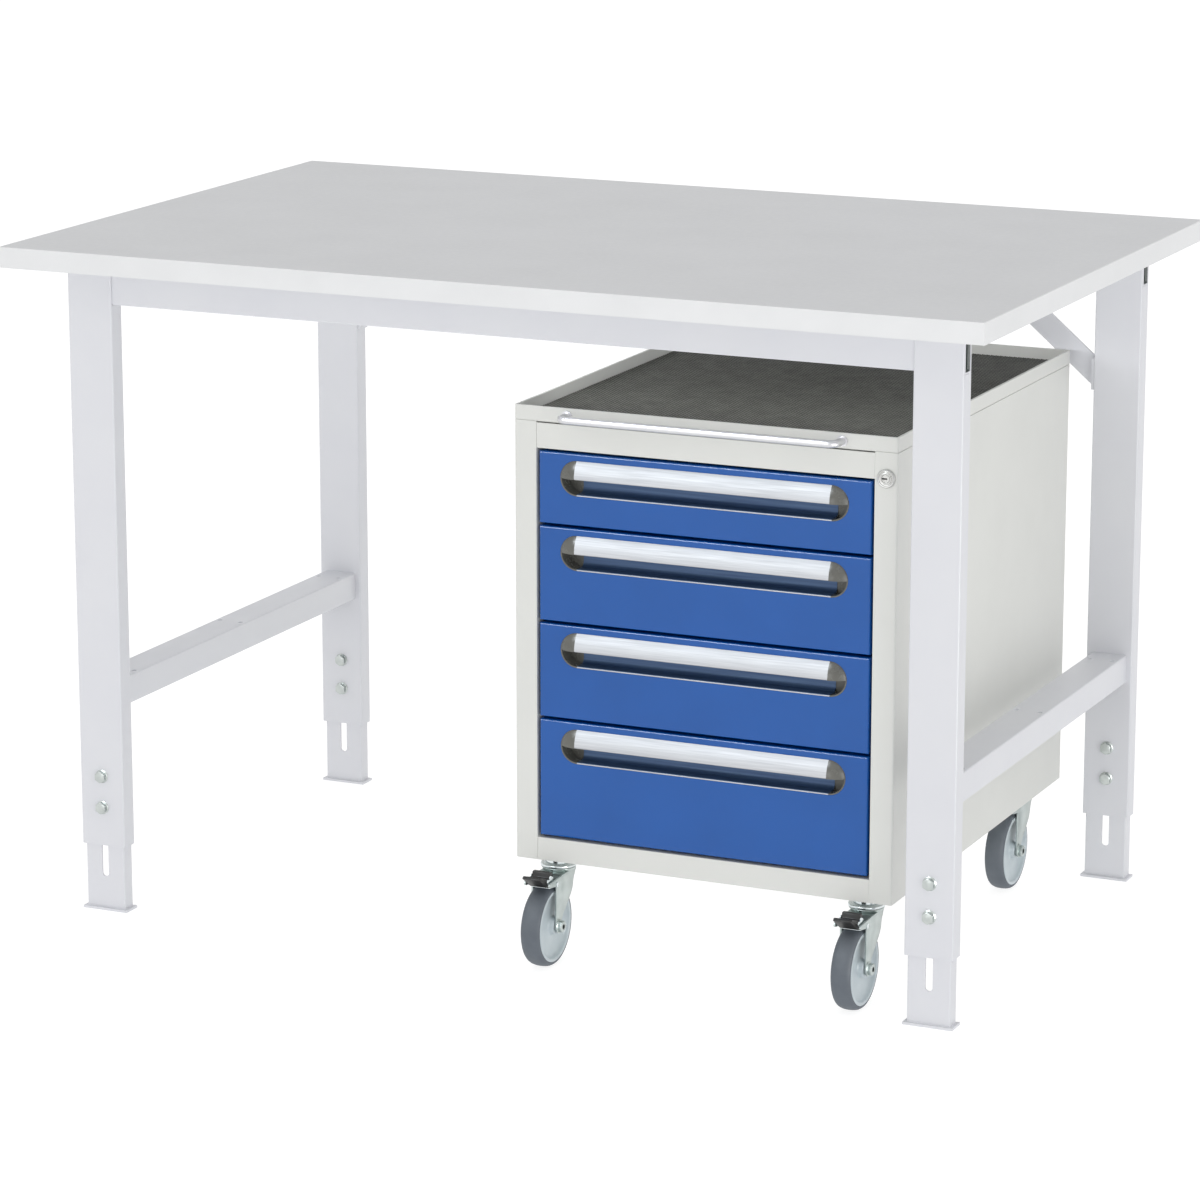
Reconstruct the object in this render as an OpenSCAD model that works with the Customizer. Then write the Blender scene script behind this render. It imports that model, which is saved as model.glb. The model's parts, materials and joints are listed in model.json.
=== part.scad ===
// Height-adjustable workbench with a four-drawer cabinet on swivel casters.
// Millimetres. Origin on the floor at the middle of the worktop's outline:
// +X to the right, +Y to the back, +Z up.

/* [Worktop] */
// Length of the worktop, left to right
top_l = 1250; // [1150:10:2000]
// Depth of the worktop, front to back
top_d = 800; // [780:5:1000]
// Thickness of the board
top_t = 25; // [18:1:40]
// Height of the worktop's upper face above the floor
work_h = 840; // [765:5:870]
// Thickness of the plastic edge band
band_t = 2; // [1:0.5:3]

/* [Legs] */
// Width of a leg, seen from the front
leg_w = 60; // [50:1:80]
// Depth of a leg, front to back
leg_d = 25; // [22:0.5:40]
// Wall of a leg
leg_wall = 2.5; // [1.5:0.5:3]
// Length of a leg tube, without its foot
leg_l = 731; // [700:1:740]
// Radius of a leg's folded corners
leg_r = 2; // [1:0.5:4]
// Distance from the worktop's end to the leg
leg_inset = 50; // [20:5:120]
// Distance from the worktop's front edge to the front legs
front_setback = 75; // [30:5:100]
// Distance from the worktop's rear edge to the rear legs
rear_setback = 60; // [20:5:70]

/* [Feet] */
// Gap between a leg and the foot that slides in it, on each side
foot_gap = 0.75; // [0.5:0.25:1]
// Wall of a foot
foot_wall = 2; // [1.5:0.5:3]
// Length of a foot
foot_l = 240; // [220:5:320]
// Thickness of the floor plate under a foot
plate_t = 3; // [2:0.5:5]
// How far the floor plate stands out at each side of a foot
plate_lip = 4; // [1:0.5:10]
// Width of the slot in a foot
slot_w = 9; // [8.6:0.2:14]
// Height of the slot's lower end above the floor
slot_low = 43; // [30:1:45]
// Height of the slot's upper end above the floor
slot_high = 215; // [205:1:218]

/* [Leg bolts] */
// Shank diameter of a leg bolt
bolt_d = 8; // [5:0.5:8]
// Width across the flats of a bolt head
bolt_af = 13; // [10:1:14]
// Height of a bolt head
bolt_head_h = 5; // [3:0.5:8]
// Diameter of the flange under a bolt head
flange_d = 17; // [14.5:0.5:20]
// Height of the lower bolt above the leg's lower end
bolt_up = 49; // [40:1:55]
// Distance between the two bolts of a leg
bolt_pitch = 40; // [30:1:45]

/* [Rails and stretchers] */
// Height of the front and rear rails
rail_h = 50; // [30:1:80]
// Wall of a rail
rail_wall = 2; // [1:0.5:3]
// Clearance of a rail in the leg, on each side
rail_fit = 0.25; // [0.1:0.05:0.5]
// Depth of the plug in a rail's end
plug_l = 12; // [6:1:30]
// Width of a stretcher
stretcher_w = 45; // [42:1:50]
// Height of a stretcher
stretcher_h = 35; // [20:1:60]
// Sheet thickness of a stretcher
stretcher_wall = 2; // [1:0.5:3]
// Distance from the worktop's underside down to the stretchers
stretcher_drop = 519; // [200:1:600]
// Diameter of the mounting holes in a stretcher
hole_d = 6.5; // [3:0.1:8]
// Distance across a stretcher between two mounting holes
hole_pitch_x = 30; // [24:1:32]
// Distance from a stretcher's end to its first pair of holes; a third pair is midway
hole_inset = 34.5; // [10:0.5:150]
// Width of a corner brace
brace_w = 30; // [15:1:50]
// Thickness of a corner brace
brace_t = 4; // [2:0.5:6]
// How far a brace reaches along the rear rail
brace_reach = 158; // [80:1:250]
// How far a brace reaches down the leg
brace_drop = 134; // [80:1:200]

/* [Cabinet] */
// Width of the cabinet
cab_w = 480; // [420:5:500]
// Depth of the cabinet
cab_d = 600; // [560:5:603]
// Gap between the cabinet and the right legs
cab_gap = 30; // [20:5:200]
// How far the cabinet stands behind the front face of the legs
cab_setback = 37; // [37:1:50]
// Sheet thickness of the cabinet
sheet = 1.5; // [1:0.25:2]
// Outer radius of the folded edges
fold_r = 2.5; // [1.5:0.5:4]
// Width of a front post
post_w = 28; // [26:1:40]
// Depth of a post
post_d = 30; // [28:1:44]
// Thickness of the base plate
base_t = 2; // [1.5:0.5:4]
// Height of the front bar under the drawers, with the base plate
lower_bar_h = 28; // [20:1:60]
// Height of the front bar above the drawers
upper_bar_h = 30; // [20:1:60]
// Depth of the two front bars
bar_d = 18; // [10:1:23]
// Radius of the bars' edges beside the posts
bar_r = 1; // [0.5:0.25:2]
// Gap between the upper bar and the tray
tray_gap = 1.5; // [1:0.5:4]
// Height and depth of the shadow line under the tray
shadow_line = 1; // [0.5:0.1:1.2]
// Height of the tray's rim
rim_h = 18; // [14:1:60]
// Thickness of the tray's rim
rim_t = 3; // [2:0.5:6]
// Thickness of the rubber mat
mat_t = 3; // [2:0.5:5]
// Distance between the mat's ribs
rib_pitch = 6.5; // [5:0.5:20]
// Height of the mat's ribs
rib_h = 1; // [0.5:0.1:1.5]

/* [Push bar] */
// Diameter of the push bar
push_d = 9; // [6:0.5:11]
// Distance from the tray's front to the middle of the bar
push_out = 24; // [18:1:50]
// Distance from the cabinet's sides to the ends of the bar
push_inset = 68; // [40:1:120]
// Radius of the bar's bends
push_r = 9; // [8:0.5:12]

/* [Drawers] */
// Height of the top drawer's front
front_h1 = 86; // [80:1:150]
// Height of the second drawer's front
front_h2 = 114; // [80:1:150]
// Height of the third drawer's front
front_h3 = 114; // [80:1:150]
// Height of the bottom drawer's front
front_h4 = 143; // [80:1:200]
// Gap round a drawer's front
front_gap = 3.5; // [2:0.5:6]
// Depth of a drawer's front
front_d = 25; // [24.5:0.5:27]
// Width of the flange folded in at the back of a drawer's front
front_flange = 12; // [9:1:14]
// Length of a drawer's box
box_l = 525; // [400:5:530]
// How much lower the box is than its front
box_drop = 26; // [20:1:36]
// Height of the box above the lower edge of its front
box_up = 8; // [5:1:14]
// Depth of a runner, across the cabinet
runner_d = 10; // [8:0.5:14]
// Height of a runner
runner_h = 20; // [14:1:26]
// Clearance of the drawer's rail in its runner
slide_gap = 0.3; // [0.2:0.1:0.6]
// Gap between a box and its runners
box_gap = 0.5; // [0.4:0.1:1]

/* [Recessed grips] */
// Height of the grip's cut-out
grip_h = 42; // [30:1:44]
// Depth of the grip
grip_d = 22; // [18:0.5:22]
// Distance from the top of the front to the cut-out
grip_drop = 8.5; // [6:0.5:18]
// Distance from the sides of the front to the cut-out
grip_inset = 27.5; // [15:0.5:100]
// Wall of the grip profile
grip_wall = 1.5; // [1:0.5:2.5]
// How far the grip's lower edge stands out of the front
grip_bulge = 8; // [4:0.5:10]
// Radius of the bead along that edge
grip_bead = 1.25; // [0.5:0.25:2]

/* [Lock] */
// Diameter of the lock's rosette
lock_d = 22.5; // [17:0.5:24]
// Diameter of the lock's housing
lock_body_d = 16; // [14:0.5:16.5]
// Diameter of the turning plug
lock_plug_d = 10; // [7:0.5:12]
// Distance from the tray down to the middle of the lock
lock_drop = 30; // [20:1:80]

/* [Casters] */
// Height of the casters
caster_h = 128; // [126:1:140]
// Diameter of a wheel
wheel_d = 100; // [80:1:100]
// Width of a wheel
wheel_w = 25; // [22:1:32]
// Distance from the swivel axis to the wheel's axle
trail = 36; // [30:1:37]
// Distance from a post to the swivel axis, across the cabinet
caster_side = 14; // [13:1:30]
// Distance from the cabinet's front to the front swivel axes
caster_front = 30; // [29:1:60]
// Distance from the cabinet's back to the rear swivel axes
caster_rear = 45; // [40:1:60]
// Thickness of a tyre
tyre_t = 6; // [5.5:0.5:12]
// Radius of a tyre's shoulders
tyre_r = 5; // [2:0.5:5]
// Thickness of the fork's sheet
fork_t = 2.5; // [2:0.5:4]
// Gap between a wheel's hub and the fork, on each side
hub_gap = 0.5; // [0.3:0.1:1]
// Diameter of the axle sleeve
axle_d = 12; // [10:0.5:14]

/* [Hidden] */
$fn = 48;

// A cut reaches this far past the face that it opens.
cut = 1;

// Bench frame
top_z = work_h - top_t;                       // underside of the worktop
leg_z = top_z - leg_l;                        // lower end of the leg tubes
leg_out = top_l / 2 - leg_inset;              // outer faces of the legs
leg_mid = leg_out - leg_w / 2;
leg_in = leg_out - leg_w;                     // inner faces of the legs
front_y = front_setback - top_d / 2;          // front faces of the front legs
rear_y = top_d / 2 - rear_setback - leg_d;    // front faces of the rear legs
frame_mid_y = (front_y + rear_y + leg_d) / 2;
stretcher_l = rear_y - front_y - leg_d;
stretcher_z = top_z - stretcher_drop;
rail_z = top_z - rail_h;
rail_d = leg_d - 2 * (leg_wall + rail_fit);   // a rail fills the inside of a leg
rail_y = leg_wall + rail_fit;                 // from a leg's front face to the rail
tab_l = 30;                                   // screw tabs welded inside the rails
tab_d = 24;
tab_t = 3;
tab_hole = 5;
foot_w = leg_w - 2 * (leg_wall + foot_gap);
foot_d = leg_d - 2 * (leg_wall + foot_gap);
foot_in = leg_wall + foot_gap;                // from a leg's face to its foot
nut_t = 6.5;
washer_t = 1.6;
nut_y = foot_in + foot_wall + slide_gap;      // front of the nut inside the foot
brace_angle = atan2(brace_drop, brace_reach);
brace_flange = 4;

// Cabinet, in its own frame: x and y from its front left corner, z from its base
cab_x = leg_in - cab_gap - cab_w;
cab_y = front_y + cab_setback;
cab_z = caster_h;
front_h = [front_h1, front_h2, front_h3, front_h4];
opening_w = cab_w - 2 * post_w;
front_x = post_w + front_gap;
front_w = opening_w - 2 * front_gap;
upper_bar_z = front_z(0) + front_h[0] + front_gap;
body_h = upper_bar_z + upper_bar_h + tray_gap;
tray_in = rim_t;
mat_play = 1;
lock_x = cab_w - post_w / 2;
lock_z = body_h - lock_drop;
lock_len = 24;
lock_lip = 3;
plug_play = 0.05;
plug_r = lock_plug_d / 2 - plug_play;
cam_l = 9;
cam_t = 2;

// Drawers
runner_t = 1.5;
runner_y = front_d + 2;
runner_l = cab_d - sheet - runner_y - 1;
box_x = post_w + runner_d + box_gap;
box_w = cab_w - 2 * box_x;
box_wall = 1.2;
rail_in = post_w + runner_t + slide_gap;      // outer side of a drawer's rail
slider_h = runner_h - 2 * (runner_t + slide_gap);
runner_up = 6;                                // from the box's floor up to the runner

// Grips
pill_r = grip_h / 2;
pill_fit = 0.2;
pill_x = grip_inset + pill_r;                 // middle of the cut-out's round end
pill_l = front_w - 2 * pill_x;                // length of its straight part
bulge_r = (pill_r * pill_r + grip_bulge * grip_bulge) / (2 * grip_bulge);
bulge_y = bulge_r - grip_bulge;               // middle of the strip's arc and of the caps' dome

// Casters, each in its own frame: z from the floor, origin on the swivel axis
caster_x = post_w + caster_side;
wheel_r = wheel_d / 2;
rim_r = wheel_r - tyre_t;
fork_in = wheel_w / 2 + 2;                    // inner faces of the fork's sides
fork_z = caster_h - 17;                       // top of the fork's crown
crown_front = 24;                             // how far the crown reaches to the front
crown_back = 14;                              // and to the back of the swivel axis
nose = 27;                                    // the sides reach this far before the axle
head_r = 22;
collar_r = 16;                                // between the race and the cabinet
dish_r = 19;                                  // the dish narrows to this at the crown
dish_h = 4.2;
race_t = 3.5;
neck_r = 12;
neck_gap = 0.3;
rivet_r = 14;                                 // the neck is riveted over under the crown
rivet_t = 3.5;
stem_r = 6;
stem_nut_af = 19;
stem_nut_h = 8;
stem_out = 2;                                 // how far the stem stands out of its nut
pad_t = 3;
pad_w = 66;
pad_play = 0.5;                               // from a pad to a post and to the front bar
axle_boss_r = 7.5;
axle_head_af = 13;
axle_head_h = 6;
hub_boss_t = 4.5;                             // wall of the hub's boss
hub_ring_t = 3;                               // wall of the hub's rim ring
hub_web_t = 5;
hub_recess = 1.5;                             // from a tyre's face to the hub's rim
pedal_r = 3.2;                                // barrel of the pedal round its pivot
pedal_y = -trail - 6;
pedal_z = fork_z - 7;
pedal_w = 2 * (fork_in - neck_gap);

// Lower edge of the front of drawer i, counted from the top
function front_z(i) =
  i == 3 ? lower_bar_h + front_gap : front_z(i + 1) + front_h[i + 1] + front_gap;

// ---- shared shapes ----

// Rectangle with four round corners
module round_rect(w, d, r) {
  translate([r, 0]) square([w - 2 * r, d]);
  translate([0, r]) square([w, d - 2 * r]);
  for (x = [r, w - r], y = [r, d - r])
    translate([x, y]) circle(r);
}

// Rectangle whose two corners at y = 0 are round
module front_round(w, d, r) {
  translate([r, 0]) square([w - 2 * r, d]);
  translate([0, r]) square([w, d - r]);
  for (x = [r, w - r])
    translate([x, r]) circle(r);
}

// Rectangle whose one corner at the origin is round
module corner_round(w, d, r) {
  translate([r, 0]) square([w - r, d]);
  translate([0, r]) square([w, d - r]);
  translate([r, r]) circle(r);
}

// Extrusion along +X of a profile drawn in Y and Z
module along_x(l) {
  rotate([90, 0, 90]) linear_extrude(l) children();
}

// Extrusion along +Y of a profile drawn in X and Z
module along_y(l) {
  translate([0, l, 0]) rotate([90, 0, 0]) linear_extrude(l) children();
}

// A piece on the left and its mirror image on the right
module both_sides() {
  children();
  mirror([1, 0, 0]) children();
}

module in_cabinet() {
  translate([cab_x, cab_y, cab_z]) children();
}

// ---- bench ----

module tabletop() {
  color("gainsboro")
    translate([band_t - top_l / 2, band_t - top_d / 2, top_z])
      cube([top_l - 2 * band_t, top_d - 2 * band_t, top_t]);
}

module edge_bands() {
  color("whitesmoke") {
    for (y = [-top_d / 2, top_d / 2 - band_t])
      translate([-top_l / 2, y, top_z]) cube([top_l, band_t, top_t]);
    for (x = [-top_l / 2, top_l / 2 - band_t])
      translate([x, band_t - top_d / 2, top_z])
        cube([band_t, top_d - 2 * band_t, top_t]);
  }
}

// A leg tube from its outer left front corner, with its rail notches and bolt holes
module leg() {
  color("gainsboro") difference() {
    linear_extrude(leg_l) difference() {
      round_rect(leg_w, leg_d, leg_r);
      translate([leg_wall, leg_wall])
        square([leg_w - 2 * leg_wall, leg_d - 2 * leg_wall]);
    }
    translate([-cut, leg_wall, leg_l - rail_h - rail_fit])
      cube([leg_w + 2 * cut, leg_d - 2 * leg_wall, rail_h + rail_fit + cut]);
    for (i = [0, 1])
      translate([leg_w / 2, -cut, bolt_up + i * bolt_pitch])
        rotate([-90, 0, 0]) cylinder(h = leg_wall + 2 * cut, d = slot_w);
  }
}

module place_leg(side, y) {
  translate([side > 0 ? leg_in : -leg_out, y, leg_z]) children();
}

// Slot of a foot, drawn in X and Z
module foot_slot() {
  r = slot_w / 2;
  translate([-r, slot_low + r]) square([slot_w, slot_high - slot_low - slot_w]);
  for (z = [slot_low + r, slot_high - r])
    translate([0, z]) circle(r);
}

// A foot: a channel that is open at the back, welded to its floor plate
module foot() {
  color("gainsboro") {
    difference() {
      linear_extrude(foot_l) difference() {
        front_round(foot_w, foot_d, leg_r);
        translate([foot_wall, foot_wall])
          square([foot_w - 2 * foot_wall, foot_d]);
      }
      translate([foot_w / 2, -cut, 0])
        along_y(foot_wall + 2 * cut) foot_slot();
      translate([-cut, -cut, -cut]) cube([foot_w + 2 * cut, foot_d + 2 * cut, cut + plate_t]);
    }
    translate([-plate_lip, -plate_lip, 0])
      cube([foot_w + 2 * plate_lip, foot_d + 2 * plate_lip, plate_t]);
  }
}

module place_foot(side, y) {
  translate([(side > 0 ? leg_in : -leg_out) + foot_in, y + foot_in, 0]) children();
}

// A leg bolt at the origin, pointing to +Y, with its nut inside the foot
module leg_bolt() {
  shank_l = nut_y + nut_t + 1;
  rotate([-90, 0, 0]) {
    translate([0, 0, -washer_t]) cylinder(h = washer_t, d = flange_d);
    translate([0, 0, -washer_t - bolt_head_h])
      rotate(30) cylinder(h = bolt_head_h, d = bolt_af / cos(30), $fn = 6);
    cylinder(h = shank_l, d = bolt_d);
    translate([0, 0, nut_y]) rotate(30) cylinder(h = nut_t, d = bolt_af / cos(30), $fn = 6);
  }
}

module leg_bolts() {
  color("silver")
    for (x = [-leg_mid, leg_mid], y = [front_y, rear_y], i = [0, 1])
      translate([x, y, leg_z + bolt_up + i * bolt_pitch]) leg_bolt();
}

// A rail from its left end, drawn at the height of the worktop's underside;
// tab_side says on which side its screw tabs stand
module rail(tab_side) {
  color("gainsboro") {
    translate([-leg_out, 0, -rail_h]) along_x(2 * leg_out) difference() {
      round_rect(rail_d, rail_h, rail_wall);
      translate([rail_wall, rail_wall])
        square([rail_d - 2 * rail_wall, rail_h - 2 * rail_wall]);
    }
    for (x = [-leg_in * 0.75, 0, leg_in * 0.75])
      translate([x - tab_l / 2, tab_side > 0 ? rail_d : -tab_d, -tab_t]) difference() {
        cube([tab_l, tab_d, tab_t]);
        translate([tab_l / 2, tab_d / 2, -cut]) cylinder(h = tab_t + 2 * cut, d = tab_hole);
      }
  }
}

module front_rail() {
  translate([0, front_y + rail_y, top_z]) rail(1);
}

module rear_rail() {
  translate([0, rear_y + rail_y, top_z]) rail(-1);
}

module rail_plugs() {
  play = 0.2;
  recess = 0.5;
  color("dimgray") both_sides()
    for (y = [front_y, rear_y])
      translate([leg_out - recess - plug_l, y + rail_y + rail_wall + play,
                 rail_z + rail_wall + play])
        cube([plug_l, rail_d - 2 * (rail_wall + play), rail_h - 2 * (rail_wall + play)]);
}

// The right brace, with its flange at the leg and its flange under the rail
module brace() {
  leg_cut = brace_w / cos(brace_angle);
  rail_cut = brace_w / sin(brace_angle);
  translate([leg_in, rear_y + (leg_d - brace_t) / 2, rail_z]) {
    along_y(brace_t) polygon([
      [-brace_flange, -brace_drop + brace_flange * tan(brace_angle)],
      [-brace_flange, leg_cut - brace_drop + brace_flange * tan(brace_angle)],
      [rail_cut - brace_reach, 0],
      [-brace_reach, 0]
    ]);
    translate([-brace_flange, (brace_t - rail_d) / 2, -brace_drop])
      cube([brace_flange, rail_d, leg_cut]);
    translate([-brace_reach, (brace_t - rail_d) / 2, -brace_flange])
      cube([rail_cut, rail_d, brace_flange]);
  }
}

module rear_braces() {
  color("gainsboro") both_sides() brace();
}

// The right stretcher: a channel that is open below, closed by a plate at each end
module stretcher() {
  in_w = stretcher_w - 2 * stretcher_wall;
  color("gainsboro")
    translate([leg_mid - stretcher_w / 2, frame_mid_y - stretcher_l / 2,
               stretcher_z - stretcher_h]) difference() {
      along_y(stretcher_l) translate([0, stretcher_h]) mirror([0, 1])
        front_round(stretcher_w, stretcher_h, stretcher_wall);
      translate([stretcher_wall, stretcher_wall, -cut])
        cube([in_w, stretcher_l - 2 * stretcher_wall, stretcher_h + cut - stretcher_wall]);
      for (x = [-0.5, 0.5], y = [hole_inset, stretcher_l / 2, stretcher_l - hole_inset])
        translate([stretcher_w / 2 + x * hole_pitch_x, y, 0])
          cylinder(h = stretcher_h + cut, d = hole_d);
    }
}

// ---- cabinet ----

// Left side of the cabinet: the panel, with a post folded at the front and the back
module side_profile() {
  difference() {
    corner_round(post_w, post_d, fold_r);
    translate([sheet, sheet]) square([post_w - 2 * sheet, post_d]);
  }
  translate([0, cab_d]) mirror([0, 1]) difference() {
    corner_round(post_w, post_d, fold_r);
    translate([sheet, sheet]) square([post_w - 2 * sheet, post_d]);
  }
  translate([0, post_d]) square([sheet, cab_d - 2 * post_d]);
}

module side_left() {
  translate([0, 0, base_t]) linear_extrude(body_h - base_t) side_profile();
}

module cabinet_side_left() {
  color("whitesmoke") in_cabinet() side_left();
}

module cabinet_side_right() {
  color("whitesmoke") in_cabinet() difference() {
    translate([cab_w, 0, 0]) mirror([1, 0, 0]) side_left();
    translate([lock_x, -cut, lock_z]) rotate([-90, 0, 0])
      cylinder(h = sheet + 2 * cut, d = lock_body_d + 2 * plug_play);
  }
}

module cabinet_back() {
  color("whitesmoke") in_cabinet()
    translate([post_w, cab_d - sheet, base_t]) cube([opening_w, sheet, body_h - base_t]);
}

// The base plate, with a thick pad over each caster
module cabinet_base() {
  color("whitesmoke") in_cabinet() difference() {
    union() {
      linear_extrude(base_t) round_rect(cab_w, cab_d, fold_r);
      for (x = [post_w + pad_play, cab_w - post_w - pad_play - pad_w],
           y = [bar_d + pad_play, cab_d - post_d - pad_w])
        translate([x, y, base_t]) cube([pad_w, pad_w, pad_t]);
    }
    for (x = [caster_x, cab_w - caster_x], y = [caster_front, cab_d - caster_rear])
      translate([x, y, -cut])
        cylinder(h = base_t + pad_t + 2 * cut, r = stem_r + neck_gap);
  }
}

// A front bar of the given height: a channel that is open at the back
module front_bar(h) {
  difference() {
    linear_extrude(h) front_round(opening_w, bar_d, bar_r);
    translate([-cut, sheet, sheet]) cube([opening_w + 2 * cut, bar_d, h - 2 * sheet]);
  }
}

module cabinet_lower_bar() {
  color("whitesmoke") in_cabinet()
    translate([post_w, 0, base_t]) front_bar(lower_bar_h - base_t);
}

module cabinet_upper_bar() {
  color("whitesmoke") in_cabinet() translate([post_w, 0, upper_bar_z]) front_bar(upper_bar_h);
}

module top_tray() {
  color("whitesmoke") in_cabinet() translate([0, 0, body_h]) difference() {
    union() {
      translate([shadow_line, shadow_line, 0])
        cube([cab_w - 2 * shadow_line, cab_d - 2 * shadow_line, rim_h - sheet]);
      translate([0, 0, shadow_line])
        linear_extrude(rim_h - shadow_line) round_rect(cab_w, cab_d, fold_r);
    }
    translate([tray_in, tray_in, sheet])
      cube([cab_w - 2 * tray_in, cab_d - 2 * tray_in, rim_h]);
    for (x = [push_inset, cab_w - push_inset])
      translate([x, -cut, rim_h / 2]) rotate([-90, 0, 0])
        cylinder(h = rim_t + 2 * cut, d = push_d / 2 + 2 * plug_play);
  }
}

// The mat, with ribs from front to back
module tray_mat() {
  w = cab_w - 2 * (tray_in + mat_play);
  ribs = floor(w / rib_pitch);
  edge = (w - ribs * rib_pitch) / 2;
  low = mat_t - rib_h;
  crests = [for (i = [0 : ribs - 1]) each [
    [edge + i * rib_pitch, low],
    [edge + (i + 0.25) * rib_pitch, mat_t],
    [edge + (i + 0.75) * rib_pitch, mat_t]
  ]];
  color("darkslategray") in_cabinet()
    translate([tray_in + mat_play, tray_in + mat_play, body_h + sheet])
      along_y(cab_d - 2 * (tray_in + mat_play))
        polygon(concat([[w, 0], [0, 0], [0, low]], crests, [[w - edge, low], [w, low]]));
}

// The push bar: a tube with two bends, a foot and a screw stem at each end
module push_bar() {
  half = cab_w / 2 - push_inset;
  leg = push_out - push_r;
  foot_t = 2;
  color("silver") in_cabinet() translate([cab_w / 2, 0, body_h + rim_h / 2]) {
    translate([push_r - half, -push_out, 0]) rotate([0, 90, 0])
      cylinder(h = 2 * (half - push_r), d = push_d);
    both_sides() {
      translate([half - push_r, -leg, 0]) rotate([0, 0, -90])
        rotate_extrude(angle = 90) translate([push_r, 0]) circle(d = push_d);
      translate([half, -leg, 0]) rotate([-90, 0, 0]) cylinder(h = leg, d = push_d);
      translate([half, -foot_t, 0]) rotate([-90, 0, 0])
        cylinder(h = foot_t, d = push_d + 4);
      translate([half, -cut, 0]) rotate([-90, 0, 0])
        cylinder(h = rim_t + cut, d = push_d / 2);
    }
  }
}

// ---- drawers ----

// Height of the runner of drawer i
function runner_z(i) = front_z(i) + box_up + runner_up;

// A left runner: a channel that is open towards the drawer
module runner_profile() {
  difference() {
    square([runner_d, runner_h]);
    translate([runner_t, runner_t]) square([runner_d, runner_h - 2 * runner_t]);
  }
}

module drawer_runners() {
  color("silver") in_cabinet()
    for (i = [0 : 3]) {
      translate([post_w, runner_y, runner_z(i)])
        along_y(runner_l) runner_profile();
      translate([cab_w - post_w, runner_y, runner_z(i)]) mirror([1, 0, 0])
        along_y(runner_l) runner_profile();
    }
}

// Outline of a grip's cut-out in X and Z, from the middle of its left round end
module pill(r) {
  translate([0, -r]) square([pill_l, 2 * r]);
  for (x = [0, pill_l]) translate([x, 0]) circle(r);
}

module place_drawer(i) {
  translate([front_x, 0, front_z(i)]) children();
}

module place_grip(i) {
  place_drawer(i) translate([pill_x, 0, front_h[i] - grip_drop - pill_r]) children();
}

// A drawer's front: a folded pan with round outer edges, the flange that its box
// is fixed to, and the grip's cut-out
module drawer_front(i) {
  h = front_h[i];
  color("royalblue") in_cabinet() difference() {
    place_drawer(i) intersection() {
      linear_extrude(h) front_round(front_w, front_d, fold_r);
      along_x(front_w) rotate(90) mirror([0, 1]) front_round(h, front_d, fold_r);
    }
    place_drawer(i) translate([sheet, sheet, sheet])
      cube([front_w - 2 * sheet, front_d - 2 * sheet, h - 2 * sheet]);
    place_drawer(i) translate([front_flange, sheet, front_flange])
      cube([front_w - 2 * front_flange, front_d, h - 2 * front_flange]);
    place_grip(i) translate([0, -cut, 0]) along_y(sheet + 2 * cut) pill(pill_r + pill_fit);
  }
}

// A drawer's box, with the rail on each side that rides in the runner
module drawer_box(i) {
  h = front_h[i] - box_drop;
  color("lightgray") in_cabinet() {
    translate([box_x, front_d, front_z(i) + box_up]) difference() {
      cube([box_w, box_l, h]);
      translate([box_wall, box_wall, box_wall])
        cube([box_w - 2 * box_wall, box_l - 2 * box_wall, h]);
    }
    for (side = [0, 1])
      translate([side * cab_w, runner_y, runner_z(i) + runner_t + slide_gap])
        mirror([side, 0, 0]) translate([rail_in, 0, 0]) along_y(box_l + front_d - runner_y)
          difference() {
            square([box_x - rail_in, slider_h]);
            translate([-cut, runner_t])
              square([box_x - rail_in - runner_t + cut, slider_h - 2 * runner_t]);
          }
  }
}

// Cross-section of a grip in Y and Z: a channel, and over its upper half the strip to
// pull, which bulges out to a beaded lower edge
module grip_profile() {
  difference() {
    translate([0, -pill_r]) square([grip_d, grip_h]);
    translate([-cut, grip_wall - pill_r])
      square([grip_d - grip_wall + cut, grip_h - 2 * grip_wall]);
  }
  intersection() {
    translate([bulge_y, 0]) difference() {
      circle(bulge_r, $fn = 96);
      circle(bulge_r - grip_wall, $fn = 96);
    }
    translate([-grip_bulge, grip_bead]) square([grip_bulge + grip_wall, pill_r - grip_bead]);
  }
  translate([grip_bead - grip_bulge, grip_bead]) circle(grip_bead);
}

module drawer_grip(i) {
  color("silver") in_cabinet() place_grip(i) along_x(pill_l) grip_profile();
}

// The right end cap of a grip: hollow below, a round knob above
module grip_cap() {
  difference() {
    along_y(grip_d) circle(pill_r);
    along_y(grip_d - grip_wall) circle(pill_r - grip_wall);
    translate([-2 * pill_r, -cut, -pill_r]) cube([2 * pill_r, grip_d + 2 * cut, grip_h]);
  }
  intersection() {
    union() {
      along_y(grip_d - grip_wall / 2) circle(pill_r - grip_wall / 2);
      translate([0, bulge_y, 0]) sphere(bulge_r, $fn = 96);
    }
    translate([0, -grip_bulge, 0])
      cube([pill_r - grip_wall / 2, grip_d + grip_bulge - grip_wall / 2, pill_r - grip_wall / 2]);
    translate([0, -grip_bulge, 0])
      along_y(grip_d + grip_bulge) circle(pill_r - grip_wall / 2);
  }
}

module drawer_caps(i) {
  color("dimgray") in_cabinet() place_grip(i) {
    translate([pill_l, 0, 0]) grip_cap();
    mirror([1, 0, 0]) grip_cap();
  }
}

// ---- lock ----

module lock_body() {
  color("silver") in_cabinet() translate([lock_x, 0, lock_z]) rotate([-90, 0, 0])
    difference() {
      union() {
        translate([0, 0, -lock_lip]) rotate_extrude()
          rosette_section(lock_d / 2, lock_lip);
        cylinder(h = lock_len, d = lock_body_d);
      }
      translate([0, 0, -lock_lip - cut])
        cylinder(h = lock_len + lock_lip + 2 * cut, d = lock_plug_d);
    }
}

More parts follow.
